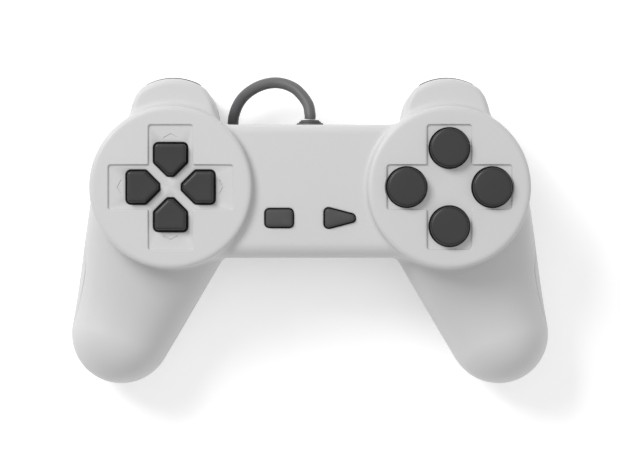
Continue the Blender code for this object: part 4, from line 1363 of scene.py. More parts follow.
@dataclass
class HousingField:
    """Depth below the housing's outer skin, its wall, and its screw bosses, in metres."""

    wall: float = 0.0022
    lobe: tuple[float, float] = DISC_PLACE
    lobe_radius: float = 0.0249
    lobe_low: float = 0.0170
    lobe_high: float = 0.0445
    rim: float = 0.0013
    low_rim: float = 0.0036
    tip: tuple[float, float] = (0.0594, -0.0319)
    tip_radius: float = 0.0156
    tip_top: float = 0.0300
    tip_low: float = -0.0006
    grip_top: float = 0.0421
    squareness: float = 2.3
    bridge: tuple[float, float] = (-0.0078, BACK_WALL)
    bridge_top: float = 0.0417
    bridge_end: float = 0.036
    front_round: float = 0.0046
    back_round: float = 0.0024
    pod_x: float = POD_X
    pod_front: float = 0.0471
    pod_back: float = 0.0255
    pod_taper: float = 0.075
    pod_round: float = 0.0036
    pod_rim: float = 0.0017
    pod_dome: float = 0.0175
    pod_half: float = 0.0124
    pod_top: float = 0.0410
    boss_radius: float = 0.0032
    grip_blend: float = 0.0011
    bridge_blend: float = 0.0016
    pod_blend: float = 0.0020

    def lobes(self, x: Array, y: Array, z: Array) -> Array:
        """A drum on a vertical axis with a small top round and a larger bottom round.

        Args:
            x: Distance right of the middle, in metres.
            y: Distance away, in metres.
            z: Height, in metres.

        Returns:
            The depth below the surface, negative inside.
        """
        across = np.hypot(x - self.lobe[0], y - self.lobe[1]) - self.lobe_radius
        middle = (self.lobe_high + self.lobe_low) / 2
        tall = np.abs(z - middle) - (self.lobe_high - self.lobe_low) / 2
        return rounded(across, tall, np.where(z > middle, self.rim, self.low_rim))

    def middle(self, x: Array, y: Array, z: Array) -> Array:
        """The bridge: a bar along X with round long edges, the front ones the larger.

        Args:
            x: Distance right of the middle, in metres.
            y: Distance away, in metres.
            z: Height, in metres.

        Returns:
            The depth below the surface, negative inside.
        """
        centre = (self.bridge[0] + self.bridge[1]) / 2
        deep = np.abs(y - centre) - (self.bridge[1] - self.bridge[0]) / 2
        half = (self.bridge_top - self.lobe_low) / 2
        tall = np.abs(z - self.lobe_low - half) - half
        round_ = np.where(y < centre, self.front_round, self.back_round)
        return np.maximum(rounded(deep, tall, round_), x - self.bridge_end)

    def grips(self, x: Array, y: Array, z: Array) -> Array:
        """A drooping horn: superellipse sections over a plan of two circles and their tangents.

        With q the plan's share of the half width and w the height over the half height, the
        surface is where q to the n plus w to the n is one; the depth is scaled by its slope.

        Args:
            x: Distance right of the middle, in metres.
            y: Distance away, in metres.
            z: Height, in metres.

        Returns:
            The depth below the surface, negative inside.
        """
        axis = np.array([self.tip[0] - self.lobe[0], self.tip[1] - self.lobe[1]])
        length = float(np.hypot(*axis))
        axis = axis / length
        dx, dy = x - self.lobe[0], y - self.lobe[1]
        along = dx * axis[0] + dy * axis[1]
        across = np.abs(dx * axis[1] - dy * axis[0])
        inset, run_out, least = 0.0004, 0.010, 0.02
        start = self.lobe_radius - inset
        slant = (start - self.tip_radius) / length
        cosine = math.sqrt(1 - slant**2)
        key = across * -slant + along * cosine
        side = across * cosine + along * slant - start
        ends = [np.hypot(along, across) - start]
        ends += [np.hypot(along - length, across) - self.tip_radius]
        plan = np.where(key < 0, ends[0], np.where(key > cosine * length, ends[1], side))
        share = np.clip(key / (cosine * length), 0, 1)
        radius = start + (self.tip_radius - start) * share
        top = self.grip_top + (self.tip_top - self.grip_top) * smooth_step(along / length)
        floor = self.lobe_low + inset
        under = smooth_step((along - run_out) / (length - run_out))
        low = floor + (self.tip_low - floor) * under
        half = (top - low) / 2
        wide = np.maximum(1 + plan / radius, least)
        tall = np.maximum(np.abs(z - (top + low) / 2) / half, least)
        power = self.squareness
        total = wide**power + tall**power
        norm = total ** (1 / power)
        ratio = total ** (1 / power - 1)
        slope = np.hypot(wide ** (power - 1) / radius, tall ** (power - 1) / half) * ratio
        return (norm - 1) / slope

    def pods(self, x: Array, y: Array, z: Array) -> Array:
        """A shoulder pod: sloping sides, a domed front, and a round top edge.

        Args:
            x: Distance right of the middle, in metres.
            y: Distance away, in metres.
            z: Height, in metres.

        Returns:
            The depth below the surface, negative inside.
        """
        side = np.abs(x - self.pod_x) + (y - self.pod_front) * self.pod_taper - self.pod_half
        front = np.hypot(x - self.pod_x, y - self.pod_front + self.pod_dome) - self.pod_dome
        front = np.where(y > self.pod_front - self.pod_dome, front, -0.01)
        plan = np.maximum(rounded(side, front, self.pod_round), self.pod_back - y)
        half = self.pod_top / 2
        return rounded(plan, np.abs(z - half) - half, self.pod_rim)

    def skin(self, x: Array, y: Array, z: Array) -> Array:
        """All of the outer forms, their creases softened, cut flat at the table.

        Args:
            x: Distance right of the middle, in metres.
            y: Distance away, in metres.
            z: Height, in metres.

        Returns:
            The depth below the surface, negative inside.
        """
        right = np.abs(x)
        form = softer_min(self.lobes(right, y, z), self.grips(right, y, z), self.grip_blend)
        form = softer_min(form, self.middle(right, y, z), self.bridge_blend)
        form = softer_min(form, self.pods(right, y, z), self.pod_blend)
        return np.maximum(form, -z)

    def solid(self, x: Array, y: Array, z: Array) -> Array:
        """The outer skin less the hollow, with a boss left standing at each screw.

        Args:
            x: Distance right of the middle, in metres.
            y: Distance away, in metres.
            z: Height, in metres.

        Returns:
            The depth below the surface, negative inside.
        """
        outer = self.skin(x, y, z)
        hollow = outer + self.wall
        for site in SCREW_SITES:
            boss = np.hypot(np.abs(x) - site.x, y - site.y) - self.boss_radius
            hollow = np.maximum(hollow, -boss)
        return np.maximum(outer, -hollow)


@dataclass
class Housing:
    """The front and rear shells with their openings, panels, bosses and screw wells."""

    form: HousingField = field(default_factory=HousingField)
    cell: float = 0.00068
    seam: float = 26.0
    seam_tip: float = 13.0
    seam_bend: float = -12.0
    seam_front: float = -47.5
    gap: float = 0.15
    far: float = 90.0
    low: tuple[float, float, float] = (-0.0785, -0.0515, -0.0023)
    high: tuple[float, float, float] = (0.0785, 0.0510, 0.0475)
    panel_reach: float = 19.0
    panel_half: float = 6.8
    arrow_reach: float = 15.4
    window_half: float = 9.4

    def seam_side(self, up: int) -> Skin:
        """The space on one side of the bent seam, as a prism along X.

        Args:
            up: 1 for the space above, -1 for the one below.

        Returns:
            The prism, half a gap clear of the seam.
        """
        level = self.seam + up * self.gap
        tip = self.seam_tip + up * self.gap
        far = self.far
        plan = [(far, level), (self.seam_bend, level), (self.seam_front, tip), (-far, tip)]
        plan += [(-far, up * far), (far, up * far)]
        rings = [np.column_stack([np.full(len(plan), x), plan]) for x in (-far, far)]
        return facing_out(closed_rings(np.array(rings) * MM))

    def panels(self) -> Skin:
        """Cutters for the two shallow cross-shaped panels.

        Returns:
            Both cutters.
        """
        long_, wide = self.panel_reach, self.panel_half
        quarter = np.array([[wide, -wide], [long_, -wide], [long_, wide]])
        turns = [np.array([[c, s], [-s, c]]) for c, s in ((1, 0), (0, 1), (-1, 0), (0, -1))]
        corners = np.concatenate([quarter @ turn for turn in turns])
        plan = Outline(corners, np.tile([0.45, 0.8, 0.8], 4), 5)
        profile = [(-0.35, 43.86), (-0.06, 43.90), (0.0, 44.00), (0.0, 44.28), (0.09, 44.42)]
        cutter = plan.skin(profile + [(0.30, 44.52), (0.30, 46.0)])
        x, y = self.form.lobe
        return cutter.moved(-x, y) + cutter.moved(x, y)

    def arrows(self) -> Skin:
        """Cutters for a small engraved arrowhead on each arm of the left panel.

        Returns:
            The four cutters.
        """
        corners = [(-2.1, -0.75), (0, 0.45), (2.1, -0.75), (2.1, -0.25), (0, 0.95), (-2.1, -0.25)]
        plan = Outline(np.array(corners) + [0, self.arrow_reach], np.full(6, 0.05), 2)
        cutter = plan.skin([(-0.12, 43.62), (0.05, 43.80), (0.12, 44.2), (0.12, 45.0)])
        x, y = self.form.lobe
        return added(cutter.turned(turn) for turn in range(4)).moved(-x, y)

    def key_holes(self) -> Skin:
        """Cutters for the direction keys, the face buttons and the menu keys.

        Returns:
            The ten cutters, each with a rounded rim.
        """
        x, y = self.form.lobe
        rim = [(0.6, 38.0), (0.6, 43.55), (0.72, 43.80), (0.95, 43.93), (0.95, 46.0)]
        slot = DirectionPad().key_outline().skin(rim)
        pad = added(slot.turned(turn) for turn in range(4)).moved(-x, y)
        rim = [(6.3, 38.0), (6.3, 43.6), (6.42, 43.86), (6.62, 43.95), (6.62, 44.3)]
        drill = lathe([*rim, (6.75, 44.6), (6.75, 46.0)], 72)
        buttons = added(drill.moved(*place) for place in FaceButtons().places().values())
        rim = [(0.4, 36.0), (0.4, 41.3), (0.52, 41.62), (0.80, 41.80), (0.80, 44.0)]
        menu = MenuKeys()
        keys = [plan.skin(rim).moved(x, menu.row_y) for _, x, plan in menu.kinds()]
        return pad + buttons + added(keys)

    def windows(self, low: float, high: float) -> Skin:
        """Cutters for one height of trigger windows in the two pods' front walls.

        Args:
            low: The windows' lowest point, in millimetres.
            high: Their highest point.

        Returns:
            Both cutters.
        """
        plan = box_outline(self.window_half, (high - low) / 2, 0.9)
        cutter = plan.skin([(0, 37.0), (0, 52.0)]).along(Axis.AWAY)
        middle = (low + high) / 2 * MM
        return cutter.moved(-POD_X, 0, middle) + cutter.moved(POD_X, 0, middle)

    def drills(self) -> Skin:
        """Cutters for the screw bores and the stepped wells of their heads.

        Returns:
            One cutter for each screw.
        """
        entry, well, bore, below = 2.95, 2.7, 1.4, -1.0
        tools = []
        for site in SCREW_SITES:
            wide, narrow = site.mouth
            profile = [(entry, below), (entry, wide), (well, narrow), (well, site.seat)]
            cutter = lathe([*profile, (bore, site.seat + 0.02), (bore, site.top - 1)], 32)
            tools += [cutter.moved(x, site.y) for _, x in site.sides()]
        return added(tools)

    def relief_hole(self) -> Skin:
        """Cutter for the cord's hole in the back wall, its rim a little rounded."""
        profile = [(3.7, -4.0), (3.7, -0.5), (3.8, -0.15), (4.1, 0.05), (4.1, 4.0)]
        return lathe(profile, 48).along(Axis.AWAY).moved(0, BACK_WALL, OUTLET_HEIGHT)

    def build(self, wardrobe: Wardrobe) -> None:
        """Make both shells and the pad's post.

        Args:
            wardrobe: The finishes.
        """
        whole = net_of(self.form.solid, self.low, self.high, self.cell)
        front, rear = whole.build("front_housing"), whole.build("rear_housing")
        carve(front, "INTERSECT", self.seam_side(1))
        carve(rear, "INTERSECT", self.seam_side(-1))
        for piece in (front, rear):
            carve(piece, "DIFFERENCE", self.drills())
            carve(piece, "DIFFERENCE", self.relief_hole())
        for tool in (self.panels(), self.arrows(), self.key_holes()):
            carve(front, "DIFFERENCE", tool)
        for piece, (_, low, high) in zip((front, rear), WINDOWS):
            carve(piece, "DIFFERENCE", self.windows(low, high))
        wardrobe.dress_piece(front, Finish.SHELL, HOUSING)
        wardrobe.dress_piece(rear, Finish.SHELL, HOUSING)
        x, y = self.form.lobe
        profile = [(2.6, 18.6), (2.2, 19.4), (2.2, 35.2), (1.6, 35.8)]
        post = lathe(profile, 32).moved(-x, y).build("pad_post")
        wardrobe.dress_piece(post, Finish.SHELL, HOUSING)
        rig.replaces(front, "front_shell")
        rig.replaces(rear, "rear_shell")
        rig.replaces(post, "rear_shell")


# ---------------------------------------------------------------- keys, buttons, triggers


@dataclass
class DirectionPad:
    """Four pointed keys on one round plate that rocks on a pivot."""

    centre: tuple[float, float] = (-DISC_PLACE[0], DISC_PLACE[1])
    half_width: float = 4.75
    reach: float = 13.1
    tip: float = 3.7
    point: float = 0.8
    top: float = 46.0
    rise: float = 0.030
    dish: float = 0.004
    dish_middle: float = 8.6
    plate: tuple[float, float] = (38.2, 39.8)
    plate_radius: float = 14.5

    def key_outline(self) -> Outline:
        """One key's plan, pointing at the pad's middle from the far side.

        Returns:
            The plan, in millimetres.
        """
        half, shoulder = self.half_width, self.tip + self.half_width - self.point
        corners = [(half, self.reach), (-half, self.reach), (-half, shoulder)]
        corners += [(-self.point, self.tip), (self.point, self.tip), (half, shoulder)]
        return Outline(np.array(corners), np.array([1.0, 1.0, 0.55, 0.35, 0.35, 0.55]))

    def key(self) -> Skin:
        """One key: straight sides, a rounded top edge, a top that dips and rises outward.

        The top's height is rise times the way out plus dish times the square of the
        distance from the dish's middle.

        Returns:
            The key's skin.
        """
        profile = [(0.0, 39.0), (0.0, 44.6), (-0.02, self.top - 0.85), (-0.12, self.top - 0.42)]
        profile += [(-0.34, self.top - 0.14), (-0.68, self.top - 0.02), (-0.95, self.top)]

        def crown(x: Array, y: Array) -> Array:
            """The extra height at x and y, in millimetres."""
            apart = x**2 + (y - self.dish_middle) ** 2
            return self.rise * (y - self.tip) + self.dish * (apart - 14)

        return self.key_outline().skin(profile, crown)

    def build(self, wardrobe: Wardrobe) -> None:
        """Make the pad as one piece.

        Args:
            wardrobe: The finishes.
        """
        low, high = self.plate
        edge = self.plate_radius
        rim = [(edge - 0.4, low), (edge, low + 0.4), (edge, high - 0.3), (edge - 0.3, high)]
        pad = lathe(rim, 96).build("direction_pad")
        carve(pad, "UNION", added(self.key().turned(turn) for turn in range(4)))
        pad.data.transform(Matrix.Translation((*self.centre, 0)))
        wardrobe.dress_piece(pad, Finish.KEY, "dpad")
        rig.replaces(pad, "dpad")


@dataclass
class FaceButtons:
    """Four round buttons in a diamond, each with its own stem."""

    centre: tuple[float, float] = DISC_PLACE
    reach: tuple[float, float] = (0.0130, 0.0119)
    radius: float = 5.9
    edge: float = 0.75
    dome: float = 0.12
    top: float = 46.95

    def places(self) -> dict[str, tuple[float, float]]:
        """Each button's middle.

        Returns:
            x and y in metres, by the name of the button's body.
        """
        x, y = self.centre
        return {
            "button_north": (x, y + self.reach[1]),
            "button_south": (x, y - self.reach[1]),
            "button_east": (x + self.reach[0], y),
            "button_west": (x - self.reach[0], y),
        }

    def button(self) -> Skin:
        """A cap with a soft edge and a barely domed top, over a lip and a stem.

        The edge is a quarter circle, and the dome falls with the square of the radius.

        Returns:
            The button's skin.
        """
        radius, top, edge, dome = self.radius, self.top, self.edge, self.dome
        profile = [(3.0, 37.55), (3.4, 37.9), (3.4, 40.2), (6.8, 40.2), (6.8, 41.6)]
        profile += [(radius, 41.62), (radius, top - 0.95)]
        angle = np.linspace(0, math.pi / 2, 6)
        round_x = radius - edge * (1 - np.cos(angle))
        profile += list(zip(round_x, top - edge - dome + edge * np.sin(angle)))
        flat = radius - edge
        profile += [(r, top - dome * (r / flat) ** 2) for r in (4.4, 3.3, 2.2, 1.1, 0.3)]
        return lathe(profile, 80)

    def build(self, wardrobe: Wardrobe) -> None:
        """Make the four buttons.

        Args:
            wardrobe: The finishes.
        """
        for name, place in self.places().items():
            piece = self.button().moved(*place).build(name + "_cap")
            wardrobe.dress_piece(piece, Finish.KEY, name)
            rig.replaces(piece, name)


@dataclass
class Widened(Outline):
    """An outline that is always grown by a base amount, which rounds its sharp corners."""

    base: float = 0.0

    def points(self, grow: float) -> Array:
        """The plan's points, grown by the base and by grow."""
        return super().points(self.base + grow)


@dataclass
class MenuKeys:
    """The two small rubbery keys of the bridge: one oblong, one that points right."""

    row_y: float = 0.0044
    select_x: float = -0.0094
    start_x: float = 0.0091
    round_: float = 1.1
    top: float = 43.05

    def kinds(self) -> list[tuple[str, float, Outline]]:
        """The oblong key and the one that points right.

        Returns:
            Each key's body, its distance right of the middle in metres, and its plan.
        """
        oblong = box_outline(4.1, 2.65, self.round_)
        inner = np.array([[3.45, 0.0], [-3.45, 1.8], [-3.45, -1.8]])
        pointed = Widened(inner, np.zeros(3), 9, base=self.round_)
        return [("select_key", self.select_x, oblong), ("start_key", self.start_x, pointed)]

    def key(self, plan: Outline) -> Skin:
        """A key with a hidden lip, straight sides and a pillowed top.

        Args:
            plan: The key's plan.

        Returns:
            The key's skin.
        """
        top = self.top
        profile = [(0, 36.55), (0, 37.4), (0.9, 37.5), (0.9, 38.6), (0.0, 38.7), (0.0, top - 0.7)]
        profile += [(-0.10, top - 0.34), (-0.32, top - 0.10), (-0.65, top)]
        return plan.skin(profile, lambda x, y: 0.10 - 0.018 * (x**2 * 0.5 + y**2))

    def build(self, wardrobe: Wardrobe) -> None:
        """Make both keys.

        Args:
            wardrobe: The finishes.
        """
        for name, x, plan in self.kinds():
            piece = self.key(plan).moved(x, self.row_y).build(name + "_cap")
            wardrobe.dress_piece(piece, Finish.MENU, name)
            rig.replaces(piece, name)


@dataclass
class Triggers:
    """The four shoulder triggers, two to a pod, that slide back into it."""

    half_width: float = 9.0
    front: float = 47.5
    dome: float = 17.5
    back: float = 41.6
    corner: float = 2.2
    clearance: float = 0.4

    def plan(self, grow: float) -> Array:
        """The cap's plan: a straight back, round corners and a domed front.

        Args:
            grow: How far its edge moves outward, in millimetres.

        Returns:
            Rows of x and y, in millimetres.
        """
        half, reach = self.half_width + grow, self.dome + grow
        corner = self.corner + grow
        centre_y = self.front - self.dome
        x = half - corner
        y = centre_y + math.sqrt((reach - corner) ** 2 - x**2)
        turn = math.atan2(y - centre_y, x)
        bend = np.linspace(0, turn, 7)
        right = np.stack([x + corner * np.cos(bend), y + corner * np.sin(bend)], axis=-1)
        sweep = np.linspace(turn, math.pi - turn, 17)[1:-1]
        crest = np.stack([reach * np.cos(sweep), centre_y + reach * np.sin(sweep)], axis=-1)
        back = self.back - grow * 0.3
        rear = np.array([[-half, back], [half, back]])
        return np.concatenate([right, crest, right[::-1] * [-1, 1], rear])

    def cap(self, low: float, high: float) -> Skin:
        """The visible cap, its front edges rounded.

        Args:
            low: Its lowest point, in millimetres.
            high: Its highest point.

        Returns:
            The cap's skin.
        """
        rise = [(-1.0, 0.0), (-0.55, 0.12), (-0.18, 0.42), (0.0, 0.9)]
        profile = [(grow, low + edge) for grow, edge in rise]
        profile += [(grow, high - edge) for grow, edge in reversed(rise)]
        plans = [(self.plan(grow), height) for grow, height in profile]
        rings = [np.column_stack([plan, np.full(len(plan), height)]) for plan, height in plans]
        return closed_rings(np.array(rings) * MM)

    def inner(self, low: float, high: float) -> list[Skin]:
        """The lip that stops the cap in its window, and the stem that meets the dome.

        Args:
            low: The cap's lowest point, in millimetres.
            high: Its highest point.

        Returns:
            The lip and the stem.
        """
        middle, reach = (low + high) / 2 * MM, (high - low) / 2
        lip = box_outline(6.0, reach + 0.8, 0.6)
        stem = box_outline(5.9, reach - 2.0, 0.8)
        skins = [lip.skin([(-0.2, 41.9), (0, 42.1), (0, 43.2), (-0.2, 43.4)])]
        skins.append(stem.skin([(-0.3, 37.5), (0, 37.8), (0, 42.6)]))
        return [skin.along(Axis.AWAY).moved(0, 0, middle) for skin in skins]

    def build(self, wardrobe: Wardrobe) -> None:
        """Make the four triggers.

        Args:
            wardrobe: The finishes.
        """
        for side, x in (("left", -POD_X), ("right", POD_X)):
            for level, low, high in WINDOWS:
                name = f"{side}_{level}_trigger"
                low, high = low + self.clearance, high - self.clearance
                piece = self.cap(low, high).moved(x, 0).build(name + "_cap")
                for inner in self.inner(low, high):
                    carve(piece, "UNION", inner.moved(x, 0))
                wardrobe.dress_piece(piece, Finish.TRIGGER, name)
                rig.replaces(piece, name)


# ---------------------------------------------------------------- mats, screws, cord fittings


@dataclass(frozen=True)
class Motion:
    """How a dome flattens: its joint, the axis, the point that stays, and what is kept."""

    joint: str
    axis: tuple[int, int, int]
    anchor: tuple[float, float, float]
    keep: float = 0.35


@dataclass
class RubberMats:
    """Rubber sheets under the keys, with a dome under each that flattens as it is pressed."""

    floor: float = 34.3
    sheet: float = 1.1
    dome_base: float = 3.4
    dome_top: float = 2.4
    button_dome: float = 1.85
    pad_dome: float = 1.95
    menu_dome: float = 0.85
    trigger_dome: float = 1.75
    trigger_keep: float = 0.22
    pad_reach: float = 0.009
    disc_corner: float = 16.3
    disc_round: float = 12.0
    disc_sides: int = 8
    pod_y: float = 0.0343
    pod_height: float = 0.0205
    dome_heights: tuple[tuple[str, float], ...] = (("upper", 0.033), ("lower", 0.0135))

    def dome(self, height: float) -> Skin:
        """A dome over the sheet: skirt, knee and flat top.

        Args:
            height: How far it stands over the sheet, in millimetres.

        Returns:
            The dome's skin.
        """
        base, top = self.dome_base, self.dome_top
        profile = [(base - 0.5, -0.35), (base, -0.3), (base, 0.05), (base - 0.25, 0.22 * height)]
        profile += [(top + 0.25, 0.62 * height), (top + 0.02, 0.86 * height)]
        return lathe(profile + [(top - 0.25, height), (0.6, height)], 40)

    def sheet_skin(self, plan: Outline, thick: float) -> Skin:
        """A flat sheet with a soft upper edge."""
        return plan.skin([(-0.1, 0), (0, 0.1), (0, thick - 0.25), (-0.2, thick)])

    def disc_sheet(self) -> Skin:
        """The sheet under a disc: a regular plan with very round corners.

        Returns:
            The sheet's skin.
        """
        angle = np.arange(self.disc_sides) * math.tau / self.disc_sides
        corners = self.disc_corner * np.column_stack([np.cos(angle), np.sin(angle)])
        plan = Outline(corners, np.full(self.disc_sides, self.disc_round))
        return self.sheet_skin(plan, self.sheet)

    def flat(self, wardrobe: Wardrobe, name: str, skin: Skin, node: str) -> None:
        """Make one sheet."""
        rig.replaces(wardrobe.dress_piece(skin.build(name), Finish.MAT, HOUSING), node)

    def pressed(
        self, wardrobe: Wardrobe, name: str, skin: Skin, node: str, motion: Motion
    ) -> None:
        """Make one dome, and let its key flatten it.

        Args:
            wardrobe: The finishes.
            name: The dome's name.
            skin: Its surface.
            node: The CAD node that it helps to stand for.
            motion: How it flattens.
        """
        piece = wardrobe.dress_piece(skin.build(name), Finish.MAT, HOUSING)
        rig.replaces(piece, node)
        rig.squash(piece, motion.joint, motion.axis, motion.anchor, keep=motion.keep)

    def build(self, wardrobe: Wardrobe) -> None:
        """Make every sheet and dome.

        Args:
            wardrobe: The finishes.
        """
        self.build_buttons(wardrobe)
        self.build_pad(wardrobe)
        self.build_menu(wardrobe)
        self.build_pods(wardrobe)

    def build_buttons(self, wardrobe: Wardrobe) -> None:
        """Make the sheet under the face buttons and its four domes.

        Args:
            wardrobe: The finishes.
        """
        low, top = self.floor * MM, (self.floor + self.sheet) * MM
        buttons = FaceButtons()
        sheet = self.disc_sheet().moved(*buttons.centre, low)
        self.flat(wardrobe, "action_sheet", sheet, "action_mat")
        for name, place in buttons.places().items():
            skin = self.dome(self.button_dome).moved(*place, top)
            motion = Motion(name + "_press", (0, 0, 1), (*place, top))
            self.pressed(wardrobe, name + "_dome", skin, "action_mat", motion)

    def build_pad(self, wardrobe: Wardrobe) -> None:
        """Make the sheet under the direction pad: four domes round a hole for the post.

        Args:
            wardrobe: The finishes.
        """
        sheet = self.disc_sheet().build("pad_sheet")
        carve(sheet, "DIFFERENCE", lathe([(2.7, -1.0), (2.7, 3.0)], 40))
        dome = self.dome(self.pad_dome).moved(self.pad_reach, 0, self.sheet * MM)
        carve(sheet, "UNION", added(dome.turned(turn) for turn in range(4)))
        place = (*DirectionPad().centre, self.floor * MM)
        sheet.data.transform(Matrix.Translation(place))
        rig.replaces(wardrobe.dress_piece(sheet, Finish.MAT, HOUSING), "dpad_mat")

    def build_menu(self, wardrobe: Wardrobe) -> None:
        """Make the strip under the menu keys and its two domes.

        Args:
            wardrobe: The finishes.
        """
        low, top = self.floor * MM, (self.floor + self.sheet) * MM
        menu = MenuKeys()
        strip = self.sheet_skin(box_outline(14.0, 4.5, 1.5), self.sheet)
        middle = (menu.select_x + menu.start_x) / 2
        self.flat(wardrobe, "menu_sheet", strip.moved(middle, menu.row_y, low), "menu_mat")
        for name, x, _ in menu.kinds():
            skin = self.dome(self.menu_dome).moved(x, menu.row_y, top)
            motion = Motion(name + "_press", (0, 0, 1), (x, menu.row_y, top))
            self.pressed(wardrobe, name + "_dome", skin, "menu_mat", motion)

    def build_pods(self, wardrobe: Wardrobe) -> None:
        """Make the two shoulder sheets and their four domes.

        Args:
            wardrobe: The finishes.
        """
        face = self.pod_y + self.sheet * MM
        for side, x in (("left", -POD_X), ("right", POD_X)):
            node = f"{side}_shoulder_mat"
            sheet = self.sheet_skin(box_outline(9.4, 17.3, 1.5), self.sheet).along(Axis.AWAY)
            sheet = sheet.moved(x, self.pod_y, self.pod_height)
            self.flat(wardrobe, f"{side}_shoulder_sheet", sheet, node)
            for level, height in self.dome_heights:
                place = (x, face, height)
                skin = self.dome(self.trigger_dome).along(Axis.AWAY).moved(*place)
                joint = f"{side}_{level}_trigger_press"
                motion = Motion(joint, (0, 1, 0), place, self.trigger_keep)
                self.pressed(wardrobe, f"{side}_{level}_dome", skin, node, motion)


@dataclass
class Screws:
    """Pan head screws with a cross recess and a rolled thread."""

    head: float = 2.3
    head_height: float = 1.6
    shank: float = 1.05
    core: float = 0.82
    pitch: float = 0.75
    sunk: float = 0.3

    def screw(self, level: float, reach: float) -> Skin:
        """The head hangs from level and the shank stands up to reach.

        Args:
            level: Height of the head's bearing face, in millimetres.
            reach: Height of the point.

        Returns:
            The screw's skin, its thread made of rings.
        """
        rim = level - self.head_height
        profile = [(0.9, rim), (1.5, rim + 0.08), (1.95, rim + 0.30), (2.2, rim + 0.65)]
        profile += [(self.head, rim + 1.0), (self.head, level - 0.05), (self.head - 0.1, level)]
        profile += [(self.shank, level + 0.02), (self.shank, level + 1.0)]
        thread = [(self.core, 0.0), (self.shank, 0.28), (self.shank, 0.34), (self.core, 0.62)]
        for turn in np.arange(level + 1.4, reach - 1.6, self.pitch):
            profile += [(radius, turn + rise) for radius, rise in thread]
        profile += [(0.8, reach - 1.0), (0.3, reach)]
        return lathe(profile, 40)

    def build(self, wardrobe: Wardrobe) -> None:
        """Make the five screws, each with a cross recess.

        Args:
            wardrobe: The finishes.
        """
        for site in SCREW_SITES:
            level = site.seat - self.sunk
            low = level - self.head_height
            recess = [(0.02, low - 0.5), (0, low), (-0.08, low + 0.95)]
            for name, x in site.sides():
                piece = self.screw(level, site.top - 1.0).build(name + "_steel", 30.0)
                for half_x, half_y in ((1.35, 0.26), (0.26, 1.35)):
                    slot = box_outline(half_x, half_y, 0.12, 3)
                    carve(piece, "DIFFERENCE", slot.skin(recess), 30.0)
                piece.data.transform(Matrix.Translation((x, site.y, 0)))
                wardrobe.dress_piece(piece, Finish.SCREW, HOUSING)
                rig.replaces(piece, name)


@dataclass
class StrainRelief:
    """The ribbed rubber bush where the cord leaves the back of the housing."""

    steps: int = 48

    def build(self, wardrobe: Wardrobe) -> bpy.types.Object:
        """Make it along the cord's way out.

        Args:
            wardrobe: The finishes.

        Returns:
            The bush.
        """
        profile = [(2.4, -4.9), (4.2, -4.9), (4.6, -4.5), (4.6, -2.9), (4.3, -2.6), (3.4, -2.55)]
        profile += [(3.4, 0.12), (4.0, 0.14), (4.2, 0.30), (4.2, 0.75), (4.0, 1.0), (3.4, 1.02)]
        profile += [(3.3, 1.14), (3.5, 1.22), (3.4, 1.48), (3.0, 1.52), (2.95, 1.62), (3.0, 1.7)]
        profile += [(2.75, 1.95), (2.3, 2.0)]
        skin = lathe(profile, self.steps).along(Axis.AWAY).moved(0, BACK_WALL, OUTLET_HEIGHT)
        piece = wardrobe.dress_piece(skin.build("strain_bush"), Finish.MOULDED, HOUSING)
        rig.replaces(piece, "strain_relief")
        return piece


@dataclass
class CordTie:
    """A soft band round one side of the wound cord, with a thicker clasp."""

    x: float = -14.0
    low: tuple[float, float] = (-6.65, 0.4)
    high: tuple[float, float] = (1.75, 15.3)
    corner: float = 3.0
    thick: float = 0.8
    width: float = 6.0

    def build(self, wardrobe: Wardrobe) -> bpy.types.Object:
        """Carry the band's section round a rounded rectangle in Y and Z.

        Args:
            wardrobe: The finishes.

        Returns:
            The band.
        """
        low, high = np.array(self.low), np.array(self.high)
        centre, half = (low + high) / 2, (high - low) / 2
        loop = box_outline(half[0], half[1], self.corner, 9).points(0) + centre
        path = np.column_stack([np.full(len(loop), self.x), loop]) * MM
        section = box_outline(self.thick / 2, self.width / 2, 0.3, 5).points(0)[::-1] * MM
        piece = swept_loop(path, section).build("tie_band")
        profile = [(0, -0.45), (0, 0.25), (-0.15, 0.45), (-0.4, 0.52)]
        clasp = box_outline(2.2, 2.4, 0.8).skin(profile)
        carve(piece, "UNION", clasp.moved(self.x * MM, centre[0] * MM, high[1] * MM), 40.0)
        wardrobe.dress_piece(piece, Finish.TIE, HOUSING)
        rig.replaces(piece, "cord_tie")
        return piece


